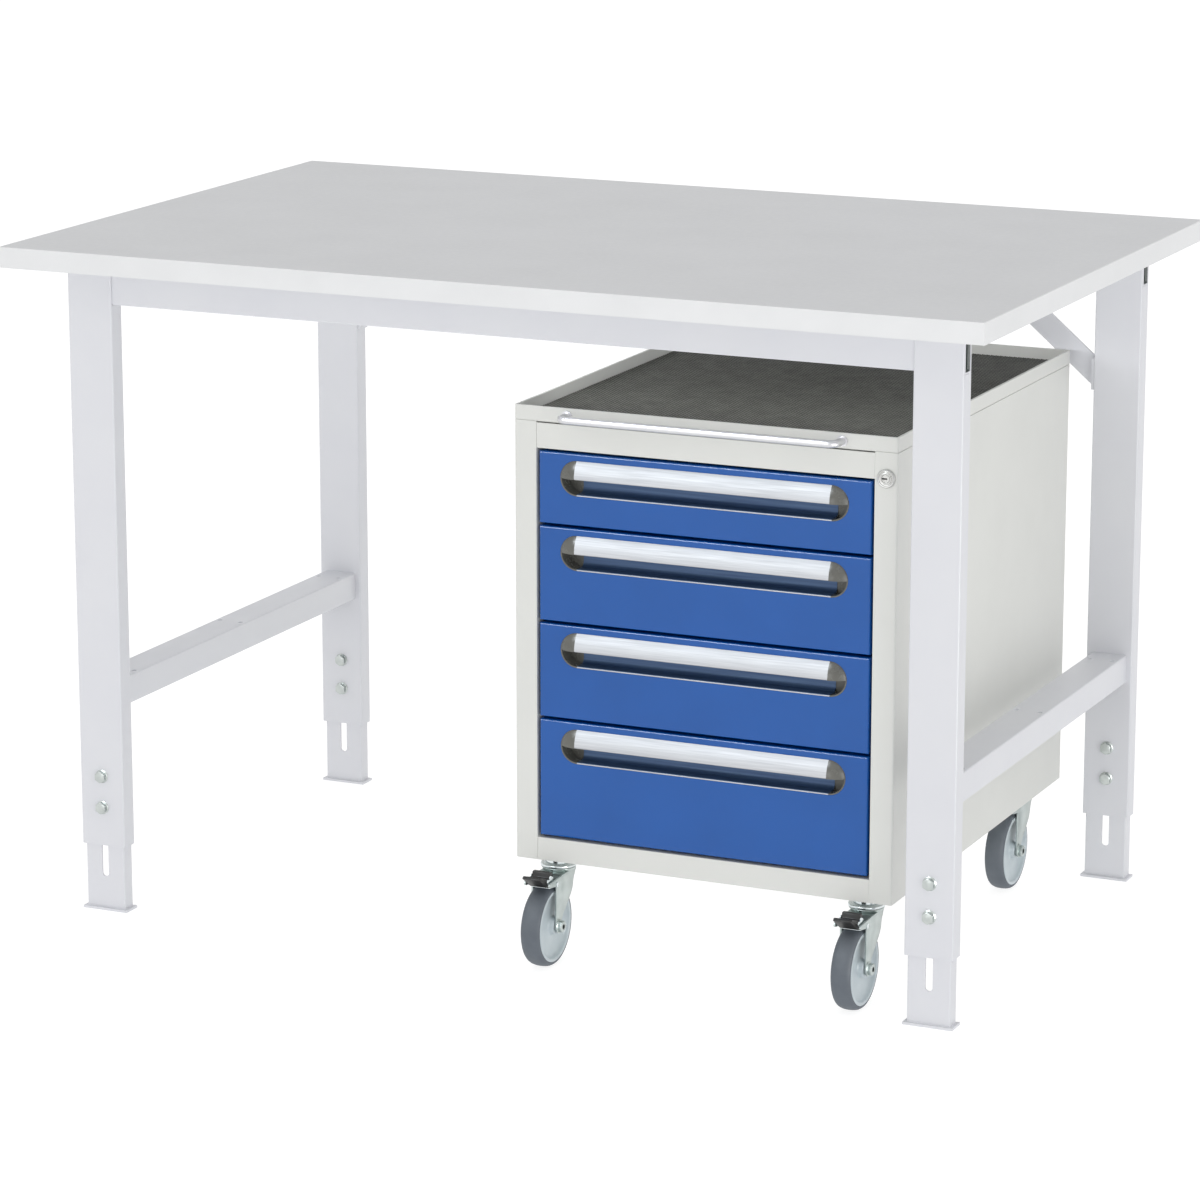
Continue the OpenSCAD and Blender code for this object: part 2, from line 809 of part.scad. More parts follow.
// Half section of a rosette with a round outer edge
module rosette_section(r, t) {
  e = t / 2;
  square([r - e, t]);
  translate([0, e]) square([r, t - e]);
  translate([r - e, e]) circle(e);
}

// The plug that the key turns, with its keyway and the cam behind it
module lock_plug() {
  key_w = 6;
  key_h = 1.2;
  key_l = 12;
  color("silver") in_cabinet() translate([lock_x, 0, lock_z]) rotate([-90, 0, 0]) {
    difference() {
      translate([0, 0, -lock_lip - 0.5])
        cylinder(h = lock_lip + 0.5 + lock_len + slide_gap + cam_t, r = plug_r);
      translate([-key_w / 2, -key_h / 2, -lock_lip - 0.5 - cut])
        cube([key_w, key_h, key_l + cut]);
    }
    translate([-plug_r, -plug_r, lock_len + slide_gap])
      cube([plug_r + cam_l, 2 * plug_r, cam_t]);
  }
}

// ---- casters ----

module place_caster(side, back) {
  translate([side > 0 ? cab_x + cab_w - caster_x : cab_x + caster_x,
             back > 0 ? cab_y + cab_d - caster_rear : cab_y + caster_front, 0])
    children();
}

// The fixed upper part of a caster: collar, race, neck, lower flange and mounting stem
module caster_head() {
  top = caster_h + base_t + pad_t;
  rivet_z = fork_z - fork_t - neck_gap - rivet_t;
  race_z = fork_z + dish_h + neck_gap;
  rotate_extrude() {
    translate([0, race_z]) square([head_r, race_t]);
    translate([0, race_z]) square([collar_r, caster_h - race_z]);
    translate([0, rivet_z]) square([neck_r, caster_h - rivet_z]);
    translate([0, rivet_z]) square([rivet_r, rivet_t]);
    translate([0, caster_h]) square([stem_r, top + stem_nut_h + stem_out - caster_h]);
  }
  translate([0, 0, top]) cylinder(h = stem_nut_h, d = stem_nut_af / cos(30), $fn = 6);
}

module caster_heads() {
  color("silver")
    for (side = [-1, 1], back = [-1, 1])
      place_caster(side, back) caster_head();
}

// Side of a fork in Y and Z, from the crown down to the axle
module fork_side() {
  polygon([
    [crown_back, fork_z], [9, fork_z - 7], [6, fork_z - 11], [3, fork_z - 24],
    [-4, fork_z - 32], [10 - trail, wheel_r + 10], [axle_boss_r - trail, wheel_r + 3],
    [axle_boss_r - trail, wheel_r], [-axle_boss_r - trail, wheel_r],
    [1 - axle_boss_r - trail, fork_z - 18], [-6 - trail, fork_z - 10],
    [2 - nose - trail, fork_z - 7], [-nose - trail, fork_z - 5],
    [1 - nose - trail, fork_z - 2], [-crown_front, fork_z]
  ]);
  translate([-trail, wheel_r]) circle(axle_boss_r);
}

// The swivelling fork, with the dish that turns round the head's neck and the axle
module fork() {
  side_w = fork_in + fork_t;
  color("silver") {
    for (x = [-side_w, fork_in]) translate([x, 0, 0]) along_x(fork_t) fork_side();
    difference() {
      union() {
        translate([-side_w, -crown_front, fork_z - fork_t])
          cube([2 * side_w, crown_front + crown_back, fork_t]);
        translate([0, 0, fork_z])
          cylinder(h = dish_h, r1 = dish_r, r2 = head_r - 0.5);
      }
      translate([0, 0, fork_z - fork_t - cut])
        cylinder(h = caster_h, r = neck_r + neck_gap);
    }
    translate([-side_w, -trail, wheel_r]) rotate([0, 90, 0])
      cylinder(h = 2 * side_w, d = axle_d);
    for (x = [-side_w - axle_head_h, side_w])
      translate([x, -trail, wheel_r]) rotate([0, 90, 0])
        cylinder(h = axle_head_h, d = axle_head_af / cos(30), $fn = 6);
  }
}

module tyre() {
  half = wheel_w / 2;
  color("slategray") translate([0, -trail, wheel_r]) rotate([0, 90, 0]) rotate_extrude($fn = 96)
    intersection() {
      translate([rim_r, -half]) square([tyre_t, wheel_w]);
      union() {
        translate([0, -half]) square([wheel_r - tyre_r, wheel_w]);
        translate([0, tyre_r - half]) square([wheel_r, wheel_w - 2 * tyre_r]);
        for (z = [tyre_r - half, half - tyre_r])
          translate([wheel_r - tyre_r, z]) circle(tyre_r);
      }
    }
}

// The hub: a rim ring, a dished web and a long boss on the axle
module hub() {
  rim_half = wheel_w / 2 - hub_recess;
  boss_r = axle_d / 2 + hub_boss_t;
  bore_r = axle_d / 2 + plug_play;
  boss_half = fork_in - hub_gap;
  web_half = hub_web_t / 2 + rim_half / 2;
  ring_in = rim_r - plug_play - hub_ring_t;
  half_section = [
    [bore_r, boss_half], [boss_r, boss_half], [boss_r + 2, web_half],
    [ring_in - 6, web_half], [ring_in + hub_ring_t / 2, rim_half]
  ];
  color("lightsteelblue") translate([0, -trail, wheel_r]) rotate([0, 90, 0])
    rotate_extrude($fn = 96) {
      translate([ring_in, -rim_half]) square([hub_ring_t, 2 * rim_half]);
      polygon(concat([for (p = half_section) [p[0], -p[1]]],
                     [for (i = [4 : -1 : 0]) half_section[i]]));
    }
}

// The brake pedal: a short arm on its pivot with an upper and a lower toe
module pedal() {
  color("black")
    translate([-pedal_w / 2, 0, 0]) along_x(pedal_w) translate([pedal_y, pedal_z]) {
      circle(pedal_r);
      polygon([
        [0, pedal_r], [-2, 15.5], [-8, 15.5], [-9.5, 9], [-35, 16], [-37.5, 14],
        [-25, 5.5], [-14, -2], [-8, -3.1], [0, -pedal_r]
      ]);
    }
}

tabletop();
edge_bands();
front_rail();
rear_rail();
rail_plugs();
rear_braces();
place_leg(-1, front_y) leg();  // leg_front_left
place_leg(1, front_y) leg();  // leg_front_right
place_leg(-1, rear_y) leg();  // leg_rear_left
place_leg(1, rear_y) leg();  // leg_rear_right
place_foot(-1, front_y) foot();  // foot_front_left
place_foot(1, front_y) foot();  // foot_front_right
place_foot(-1, rear_y) foot();  // foot_rear_left
place_foot(1, rear_y) foot();  // foot_rear_right
mirror([1, 0, 0]) stretcher();  // stretcher_left
stretcher();  // stretcher_right
leg_bolts();
cabinet_side_left();
cabinet_side_right();
cabinet_back();
cabinet_base();
cabinet_lower_bar();
cabinet_upper_bar();
top_tray();
tray_mat();
push_bar();
drawer_runners();
lock_body();
lock_plug();
caster_heads();
drawer_front(0);  // drawer_1_front
drawer_box(0);  // drawer_1_box
drawer_grip(0);  // drawer_1_grip
drawer_caps(0);  // drawer_1_caps
drawer_front(1);  // drawer_2_front
drawer_box(1);  // drawer_2_box
drawer_grip(1);  // drawer_2_grip
drawer_caps(1);  // drawer_2_caps
drawer_front(2);  // drawer_3_front
drawer_box(2);  // drawer_3_box
drawer_grip(2);  // drawer_3_grip
drawer_caps(2);  // drawer_3_caps
drawer_front(3);  // drawer_4_front
drawer_box(3);  // drawer_4_box
drawer_grip(3);  // drawer_4_grip
drawer_caps(3);  // drawer_4_caps
place_caster(-1, -1) fork();  // fork_front_left
place_caster(1, -1) fork();  // fork_front_right
place_caster(-1, 1) fork();  // fork_rear_left
place_caster(1, 1) fork();  // fork_rear_right
place_caster(-1, -1) tyre();  // tyre_front_left
place_caster(1, -1) tyre();  // tyre_front_right
place_caster(-1, 1) tyre();  // tyre_rear_left
place_caster(1, 1) tyre();  // tyre_rear_right
place_caster(-1, -1) hub();  // hub_front_left
place_caster(1, -1) hub();  // hub_front_right
place_caster(-1, 1) hub();  // hub_rear_left
place_caster(1, 1) hub();  // hub_rear_right
place_caster(-1, -1) pedal();  // pedal_front_left
place_caster(1, -1) pedal();  // pedal_front_right
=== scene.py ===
# %% [markdown]
# # A workbench with a drawer cabinet on casters
#
# The object is a height-adjustable workbench: a melamine board on a powder-coated steel
# frame, with a four-drawer cabinet that rolls out from under it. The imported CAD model
# already holds the frame, the sheet metal and the mechanism at their real sizes. In this
# lesson we give each of its parts a real finish, and we remake in more detail the small
# parts that catch the eye: bolts, plugs, grips, lock, mat and casters.

# %% Load the CAD model
import json
import math

import bmesh
import bpy
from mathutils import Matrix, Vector


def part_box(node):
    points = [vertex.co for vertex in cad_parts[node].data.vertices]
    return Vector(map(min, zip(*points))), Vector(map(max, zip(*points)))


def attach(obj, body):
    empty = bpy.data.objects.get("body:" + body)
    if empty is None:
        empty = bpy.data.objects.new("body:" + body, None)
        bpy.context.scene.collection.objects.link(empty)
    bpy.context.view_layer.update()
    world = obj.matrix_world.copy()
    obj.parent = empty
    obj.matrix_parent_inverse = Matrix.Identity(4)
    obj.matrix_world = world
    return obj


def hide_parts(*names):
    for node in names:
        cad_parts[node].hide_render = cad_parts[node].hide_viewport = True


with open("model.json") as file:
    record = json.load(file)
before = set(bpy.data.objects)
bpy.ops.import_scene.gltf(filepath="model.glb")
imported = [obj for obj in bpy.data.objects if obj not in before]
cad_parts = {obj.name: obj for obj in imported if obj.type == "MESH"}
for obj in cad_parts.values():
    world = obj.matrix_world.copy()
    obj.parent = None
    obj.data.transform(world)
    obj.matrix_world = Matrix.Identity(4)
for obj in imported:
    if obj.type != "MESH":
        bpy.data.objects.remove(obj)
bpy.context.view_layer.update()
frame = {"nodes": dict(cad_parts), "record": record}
nodes = frame["nodes"]

# %% [markdown]
# ## Two habits for the whole lesson
#
# Lengths on a drawing are in millimetres and Blender's unit is the metre, so every length
# goes through `mm`. An operator acts on all that is selected, and the import leaves every
# CAD part selected. So we clear the selection before each new piece.

# %% Millimetres and a clear selection
def mm(*lengths):
    """Millimetres to metres: one number, or a list of them."""
    metres = [length / 1000 for length in lengths]
    return metres[0] if len(metres) == 1 else metres


def clear_selection():
    if bpy.context.mode != "OBJECT":
        bpy.ops.object.mode_set(mode="OBJECT")
    bpy.ops.object.select_all(action="DESELECT")


clear_selection()

# %% [markdown]
# ## Camera
#
# A product picture of furniture is taken from a little above and to one side, with a
# long lens, so that upright edges stay upright. The camera stands about 5.8 m away. Its
# turn and tilt are given as two angles, as on a tripod's head.

# %% Set up the camera
CAMERA_PLACE = (2.279, -5.052, 1.719)
CAMERA_TURN = 24.43  # degrees to the left
CAMERA_TILT = 13.58  # degrees down
CAMERA_LENS = 137.8  # mm, for a picture 36 mm wide

bpy.ops.object.camera_add(
    location=CAMERA_PLACE,
    rotation=(math.radians(90 - CAMERA_TILT), 0, math.radians(CAMERA_TURN)),
)
camera = bpy.context.object
camera.name = "camera"
camera.data.lens = CAMERA_LENS
camera.data.sensor_width = 36
camera.data.clip_end = 100
bpy.context.scene.camera = camera
print("camera is", round(camera.location.length, 2), "m from the origin")

# %% [markdown]
# ## One function for every material node
#
# A material is a small graph. `add_node` makes one node, sets its properties and fills
# its inputs. Where an input is given another node's output, it is linked. Colours are
# written as on a colour card, in sRGB hex, and `linear` turns them into the values that
# light adds up in.

# %% Colours and nodes
def linear(hex_colour):
    """An sRGB colour such as "#e2e3df" as linear red, green, blue and alpha."""
    values = [int(hex_colour[i : i + 2], 16) / 255 for i in (1, 3, 5)]
    curve = [v / 12.92 if v <= 0.04045 else ((v + 0.055) / 1.055) ** 2.4 for v in values]
    return (*curve, 1)


def add_node(material, kind, inputs=None, **settings):
    """One shader node: settings are its properties, inputs its values and links."""
    made = material.node_tree.nodes.new("ShaderNode" + kind)
    for name, value in settings.items():
        setattr(made, name, value)
    for name, value in (inputs or {}).items():
        if isinstance(value, bpy.types.NodeSocket):
            material.node_tree.links.new(value, made.inputs[name])
        else:
            made.inputs[name].default_value = value
    return made


# %% [markdown]
# ## The start of a finish
#
# Every finish starts from one shader and its output. Its patterns are placed by object
# coordinates in millimetres, so that a pattern's scale is a real size on every piece.

# %% A finish and its scale
def new_finish(name, colour, roughness, **sockets):
    """A material with a Principled shader, and that shader."""
    material = bpy.data.materials.new(name)
    material.use_nodes = True
    material.node_tree.nodes.clear()
    values = {"Base Color": linear(colour), "Roughness": roughness}
    values.update({key.replace("_", " "): value for key, value in sockets.items()})
    shader = add_node(material, "BsdfPrincipled", values)
    add_node(material, "OutputMaterial", {"Surface": shader.outputs[0]})
    material.diffuse_color = linear(colour)
    return material, shader


def in_millimetres(material, stretch=(1, 1, 1)):
    """Object coordinates in millimetres, stretched or squeezed along each axis."""
    place = add_node(material, "TexCoord")
    return add_node(
        material,
        "Mapping",
        {"Vector": place.outputs["Object"], "Scale": [1000 * s for s in stretch]},
    ).outputs[0]


def connect(material, output, shader, socket):
    material.node_tree.links.new(output, shader.inputs[socket])


# %% [markdown]
# ## Uneven colour and a fine surface
#
# No factory surface is one flat colour. So the finishes below change slowly in tone over
# hand widths, change a little in gloss, and have a fine relief at the size of their
# grain. `vary` mixes two near colours by a noise, `roughen` does the same for the gloss,
# and `relief` turns a noise into bumps of a given height.

# %% Tone and relief
def vary(material, shader, light, dark, size, where):
    """Colours that change between two tones over patches of the given size in mm."""
    noise = add_node(
        material, "TexNoise", {"Vector": where, "Scale": 1 / size, "Detail": 3}
    )
    ramp = add_node(material, "ValToRGB", {"Fac": noise.outputs["Fac"]})
    ramp.color_ramp.elements[0].position = 0.3
    ramp.color_ramp.elements[0].color = linear(dark)
    ramp.color_ramp.elements[1].position = 0.7
    ramp.color_ramp.elements[1].color = linear(light)
    connect(material, ramp.outputs["Color"], shader, "Base Color")


def roughen(material, shader, low, high, size, where):
    """Roughness that changes between two values over patches of the given size in mm."""
    noise = add_node(
        material, "TexNoise", {"Vector": where, "Scale": 1 / size, "Detail": 2}
    )
    span = add_node(
        material,
        "MapRange",
        {"Value": noise.outputs["Fac"], "From Min": 0.3, "From Max": 0.7,
         "To Min": low, "To Max": high},
    )
    connect(material, span.outputs[0], shader, "Roughness")


def relief(material, shader, size, height, where, detail=2):
    """Fine bumps of the given size and height, both in mm."""
    noise = add_node(
        material, "TexNoise", {"Vector": where, "Scale": 1 / size, "Detail": detail}
    )
    bump = add_node(
        material,
        "Bump",
        {"Height": noise.outputs["Fac"], "Strength": 1, "Distance": mm(height)},
    )
    connect(material, bump.outputs[0], shader, "Normal")


# %% [markdown]
# ## Powder coat
#
# Powder coat is a polyester powder, sprayed on dry and baked. It flows into a thick skin
# with soft highlights and a faint orange peel, about 1.5 mm from crest to crest. That is
# finer than the view shows, so it is drawn at 3 mm. The bench is a cool light grey, the
# cabinet a warmer one, and the drawer fronts gentian blue.

# %% Powder coats
finishes = {}


def powder_coat(name, light, dark, roughness, peel=0.012):
    """Baked powder between two tones. The peel is the bumps' height in mm."""
    material, shader = new_finish(name, light, roughness, IOR=1.5)
    where = in_millimetres(material)
    vary(material, shader, light, dark, 90, where)
    roughen(material, shader, roughness - 0.03, roughness + 0.03, 25, where)
    relief(material, shader, 3.0, peel, where)
    return material


finishes["frame_steel"] = powder_coat(
    "powder_coat_light_grey", "#dbdce0", "#d8d9de", 0.42
)
finishes["cabinet_steel"] = powder_coat(
    "powder_coat_warm_grey", "#dcddd9", "#d9dad6", 0.42
)
finishes["drawer_box_steel"] = powder_coat(
    "powder_coat_box_grey", "#d6d7d3", "#d1d2cf", 0.45
)
finishes["drawer_steel"] = powder_coat(
    "powder_coat_gentian_blue", "#0a55a6", "#07519f", 0.18, peel=0.005
)
print("powder coats:", len(finishes))

# %% [markdown]
# ## Melamine board and its edge band
#
# The board is chipboard with a melamine-resin face, pressed against a plate with a fine
# pearl grain. The face is matt and harder than paint. Its edges are closed by a band of
# ABS plastic, which is smoother and a little lighter.

# %% Board and band
material, shader = new_finish("melamine_pearl_grey", "#cfd0d2", 0.5, IOR=1.55)
where = in_millimetres(material)
vary(material, shader, "#d0d1d3", "#cccdcf", 140, where)
roughen(material, shader, 0.46, 0.56, 8, where)
relief(material, shader, 2.2, 0.015, where, detail=4)
finishes["worktop_board"] = material

material, shader = new_finish("abs_edge_band", "#e2e3e4", 0.4, IOR=1.5)
where = in_millimetres(material)
vary(material, shader, "#e3e4e5", "#dfe0e1", 60, where)
relief(material, shader, 1.6, 0.008, where)
finishes["edge_band"] = material
print("board and band:", finishes["worktop_board"].name, finishes["edge_band"].name)

# %% [markdown]
# ## Zinc, nickel and chrome plating
#
# Bolts, runners and casters are electroplated with zinc and passivated. Zinc is a
# metal, so its colour is its reflection: a cool pale grey, clouded by the passivation.
# The lock's nickel and the push bar's chrome have a clearer, satin sheen. The caster
# heads and brake stirrups take a lighter zinc, which is painted light.

# %% Plated metals
def plated(name, light, dark, low, high, cloud=14, depth=0.004):
    """Plating with a roughness from low to high, in clouds of the given size in mm."""
    material, shader = new_finish(name, light, low, Metallic=1.0)
    where = in_millimetres(material)
    vary(material, shader, light, dark, cloud, where)
    roughen(material, shader, low, high, cloud / 2, where)
    relief(material, shader, 1.2, depth, where)
    return material


finishes["zinc_bolts"] = plated("zinc_plated_bolt", "#c9cecb", "#b4bab8", 0.28, 0.4)
finishes["zinc_sheet"] = plated("zinc_plated_sheet", "#c3cbc9", "#adb6b4", 0.3, 0.42)
# A lighter zinc that is painted light, for the caster heads and the brake stirrups.
finishes["zinc_race"] = plated("zinc_plated_painted_light", "#e3e9ea", "#d2dadb", 0.14, 0.22)
finishes["chrome_bar"] = plated(
    "chrome_plated_tube", "#d9d9db", "#d2d2d5", 0.3, 0.38, 40, depth=0.001
)
finishes["lock_nickel"] = plated(
    "nickel_plated_zamak", "#cdcdcb", "#c3c3c0", 0.26, 0.32, 6, depth=0.001
)
print("finishes with the plated ones:", len(finishes))

# %% [markdown]
# ## Anodised aluminium
#
# A grip is an aluminium extrusion, brushed along its length and anodised. The brush
# leaves hairlines tens of millimetres long and a fraction of a millimetre wide. They are
# drawn a little coarser, so that they show, by a noise that is squeezed along the grip's
# length, and they turn highlights into streaks. The channel behind the grip has the same
# hairlines. Its dark blue-grey colour is painted shade and a painted reflection of the
# blue drawer front.

# %% Brushed aluminium
def brushed_metal(name, light, dark, metallic, roughness, line):
    """Hairlines along X. The line is their spacing in mm."""
    material, shader = new_finish(name, light, roughness, Metallic=metallic)
    brushed = in_millimetres(material, stretch=(0.02, 1, 1))
    vary(material, shader, light, dark, line, brushed)
    roughen(material, shader, roughness - 0.06, roughness + 0.06, 1.0, brushed)
    relief(material, shader, 0.9, 0.006, brushed)
    return material


finishes["grip_aluminium"] = brushed_metal(
    "anodised_aluminium", "#bdbec0", "#b2b3b6", 1.0, 0.66, 1.4
)
# The channel's dark blue-grey is painted shade and a painted reflection of the blue
# front.
finishes["grip_channel_painted_shade"] = brushed_metal(
    "painted_shade_blue_grey_aluminium", "#506a8c", "#3c547a", 0.4, 0.42, 2.6
)
print("finishes with the brushed ones:", len(finishes))

# %% [markdown]
# ## Plastics and rubber
#
# The grips' end caps are moulded ABS with a spark-eroded grain. The mat is pressed
# rubber, and its stud tops get a paler rubber that is a painted highlight. The tyres are
# a soft thermoplastic rubber that leaves no marks, the hubs are polypropylene and the
# brake pedals nylon. Each grain is drawn at about twice its real size so that it can be
# seen.

# %% Plastics
def moulded(name, light, dark, roughness, grain, depth):
    """A moulded plastic or rubber. Its grain has a size and a depth in mm."""
    material, shader = new_finish(name, light, roughness, IOR=1.5)
    where = in_millimetres(material)
    vary(material, shader, light, dark, 20, where)
    roughen(material, shader, roughness - 0.05, roughness + 0.05, 20 / 3, where)
    relief(material, shader, grain, depth, where)
    return material


for slot, name, light, dark, roughness, grain, depth in (
    ("grip_cap_plastic", "abs_dark_grey", "#696963", "#5f5f5a", 0.25, 1.0, 0.008),
    ("rail_plug", "polyethylene_plug", "#4a5350", "#3f4845", 0.45, 1.2, 0.01),
    ("ribbed_rubber", "ribbed_rubber", "#474844", "#3d3e3a", 0.7, 1.0, 0.05),
    # The paler rubber for the stud tops is a painted highlight.
    ("stud_top_painted_highlight", "ribbed_rubber_painted_highlight", "#898a83", "#74756f", 0.6, 1.0, 0.03),
    ("tyre_rubber", "thermoplastic_rubber", "#626971", "#5b626a", 0.6, 1.2, 0.03),
    ("hub_plastic", "polypropylene_hub", "#c8d2d6", "#bec9ce", 0.35, 1.5, 0.01),
    ("pedal_plastic", "nylon_black", "#201f1d", "#191816", 0.45, 1.2, 0.02),
):
    finishes[slot] = moulded(name, light, dark, roughness, grain, depth)
print("finishes:", len(finishes))

# %% [markdown]
# ## Dress the CAD parts
#
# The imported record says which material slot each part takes. So one loop dresses them
# all: the sheet-metal parts already have their true form, and only need the real finish.

# %% Finish every CAD part
for part in frame["record"]["subparts"]:
    mesh = nodes[part["node"]].data
    mesh.materials.clear()
    mesh.materials.append(finishes[part["material_slot"]])

# %% [markdown]
# ## Picking
#
# `pick` selects faces, edges or points by a test on their place or normal, which is what
# a modeller does with the mouse.

# %% Pick
def middle(part):
    """The middle of a point, an edge or a face, in mm."""
    if isinstance(part, bmesh.types.BMVert):
        return part.co * 1000
    if isinstance(part, bmesh.types.BMEdge):
        return (part.verts[0].co + part.verts[1].co) * 500
    return part.calc_center_median() * 1000


def pick(piece, kind, test):
    """In edit mode, select only the parts of one kind that pass the test."""
    bpy.ops.mesh.select_mode(type=kind)
    bpy.ops.mesh.select_all(action="DESELECT")
    shape = bmesh.from_edit_mesh(piece.data)
    parts = {"VERT": shape.verts, "EDGE": shape.edges, "FACE": shape.faces}[kind]
    for part in parts:
        if test(part):
            part.select_set(True)
    bmesh.update_edit_mesh(piece.data)


# %% [markdown]
# ## Changing a piece
#
# `edit` opens one piece for work on its faces, and `modify` adds a modifier and applies
# it at once. `outward` mends a fresh shape, and `smooth` shades its curved faces while
# its corners stay crisp.

# %% Edit and modify
def activate(piece):
    clear_selection()
    piece.select_set(True)
    bpy.context.view_layer.objects.active = piece


def edit(piece):
    activate(piece)
    bpy.ops.object.mode_set(mode="EDIT")
    bpy.ops.mesh.select_all(action="SELECT")


def modify(piece, kind, **settings):
    """Add a modifier and apply it."""
    activate(piece)
    bpy.ops.object.modifier_add(type=kind)
    modifier = piece.modifiers[-1]
    for name, value in settings.items():
        setattr(modifier, name, value)
    bpy.ops.object.modifier_apply(modifier=modifier.name)


def outward(piece):
    """Merge what touches and turn every face outwards."""
    edit(piece)
    bpy.ops.mesh.remove_doubles(threshold=mm(0.01))
    bpy.ops.mesh.normals_make_consistent(inside=False)
    bpy.ops.object.mode_set(mode="OBJECT")


def smooth(piece, angle):
    """Smooth shading, apart from edges that turn by more than an angle in degrees."""
    activate(piece)
    bpy.ops.object.shade_smooth_by_angle(angle=math.radians(angle))


# %% [markdown]
# ## Placing, joining and copying
#
# A new piece is drawn at its real size, and its place is always written into its mesh, so
# that its origin stays at the world's. A piece that repeats is modelled once and copied.

# %% Place, join, cut and copy
def apply_place(piece):
    activate(piece)
    bpy.ops.object.transform_apply(location=True, rotation=True, scale=True)


def move(piece, x, y, z):
    """Move a piece by an offset in mm."""
    piece.location = Vector(mm(x, y, z))
    apply_place(piece)


def join(pieces):
    """Several meshes become one piece."""
    clear_selection()
    for piece in pieces:
        piece.select_set(True)
    bpy.context.view_layer.objects.active = pieces[0]
    bpy.ops.object.join()
    return pieces[0]


def discard(*pieces):
    for piece in pieces:
        bpy.data.objects.remove(piece)


def cut(piece, tool, operation="DIFFERENCE"):
    """A boolean with a tool that is then thrown away."""
    modify(piece, "BOOLEAN", operation=operation, object=tool)
    discard(tool)


def copy_of(piece, offset=(0, 0, 0), turn_z=0):
    """A copy with its own mesh, turned about its origin and moved by an offset in mm."""
    activate(piece)
    bpy.ops.object.duplicate()
    copied = bpy.context.object
    copied.rotation_euler.z += math.radians(turn_z)
    copied.location += Vector(mm(*offset))
    apply_place(copied)
    return copied


# %% [markdown]
# ## Where a piece belongs
#
# `box_of` reads a CAD part's box, so that a new piece lands on the plain one it stands
# for. `settle` names a finished piece, gives it its finish, and says which body it moves
# with and which plain CAD parts it stands for.

# %% Read a place and settle a piece
def box_of(name):
    """The lower and the upper corner of a CAD part's box, in mm."""
    return [corner * 1000 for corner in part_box(name)]


def settle(piece, name, body, slot, *stands_for, finish=None):
    """Name a finished piece, dress it and give it to its body."""
    apply_place(piece)
    piece.name = piece.data.name = name
    piece.data.materials.clear()
    piece.data.materials.append(finishes[finish or slot])
    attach(piece, body)
    if stands_for:
        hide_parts(*stands_for)


# %% [markdown]
# ## Blocks and prisms
#
# Many small parts begin as cut bar: a block of rectangular bar, or a slice of hexagonal
# bar for a bolt's head or a nut. Bar has no sharp edges, so they can be rounded off.

# %% Bar stock
def block(size, centre=(0, 0, 0), round_off=0, segments=2):
    """A box of a size about a centre, with its edges rounded off, all in mm."""
    clear_selection()
    bpy.ops.mesh.primitive_cube_add(size=1, location=mm(*centre))
    piece = bpy.context.object
    piece.scale = mm(*size)
    apply_place(piece)
    if round_off:
        modify(piece, "BEVEL", width=mm(round_off), segments=segments)
    return piece


def hexagon(radius, thickness, height, round_off=0):
    """A hexagonal prism about Z: radius to a corner, thickness and middle, in mm."""
    clear_selection()
    bpy.ops.mesh.primitive_cylinder_add(
        vertices=6, radius=mm(radius), depth=mm(thickness), location=(0, 0, mm(height))
    )
    piece = bpy.context.object
    apply_place(piece)
    if round_off:
        modify(piece, "BEVEL", width=mm(round_off), segments=2)
    return piece


# %% [markdown]
# ## Turned shapes
#
# Bolts, washers, wheels and knobs are all turned. On a real lathe the tool follows a
# profile while the work spins. `turned` does the same: it draws a circle, then extrudes
# it from ring to ring, scaling it to each radius and lifting it to each height. A profile
# that ends where it began makes a ring with a bore, and any other makes a solid.

# %% Turned
def turned(rings, points=48):
    """A turned piece about Z. Each ring is a radius and a height in mm."""
    bored = rings[0] == rings[-1]
    radius, height = rings[0]
    clear_selection()
    bpy.ops.mesh.primitive_circle_add(
        vertices=points,
        radius=mm(radius),
        location=(0, 0, mm(height)),
        fill_type="NOTHING" if bored else "NGON",
    )
    piece = bpy.context.object
    apply_place(piece)
    edit(piece)
    for next_radius, next_height in rings[1:]:
        bpy.ops.mesh.extrude_region_move()
        scale = next_radius / radius
        bpy.ops.transform.resize(value=(scale, scale, 1), center_override=(0, 0, 0))
        bpy.ops.transform.translate(value=(0, 0, mm(next_height - height)))
        radius, height = next_radius, next_height
    outward(piece)
    return piece


def face_front(piece):
    """Turn a piece made about Z so that its top looks to the front."""
    piece.rotation_euler.x = math.radians(90)
    apply_place(piece)


def face_side(piece):
    """Turn a piece made about Z so that its top looks to the right."""
    piece.rotation_euler.y = math.radians(90)
    apply_place(piece)


# %% [markdown]
# ## Leg bolts
#
# Two M8 bolts clamp each foot in its leg. The head is a hexagon of 13 mm across the flats
# on a flange. Real heads are chamfered by a cone, which leaves a round top on the
# hexagon. So a hexagonal prism is cut by a turned cone with a boolean, and the flange is
# turned under it.

# %% Leg bolts
CORNERS = ("front_left", "front_right", "rear_left", "rear_right")
BOLT_FLATS = 13
BOLT_HEAD = 5
FLANGE_RADIUS = 8.5
FLANGE_THICKNESS = 1.6
BOLT_HEIGHTS = (49, 89)  # above the leg's lower end

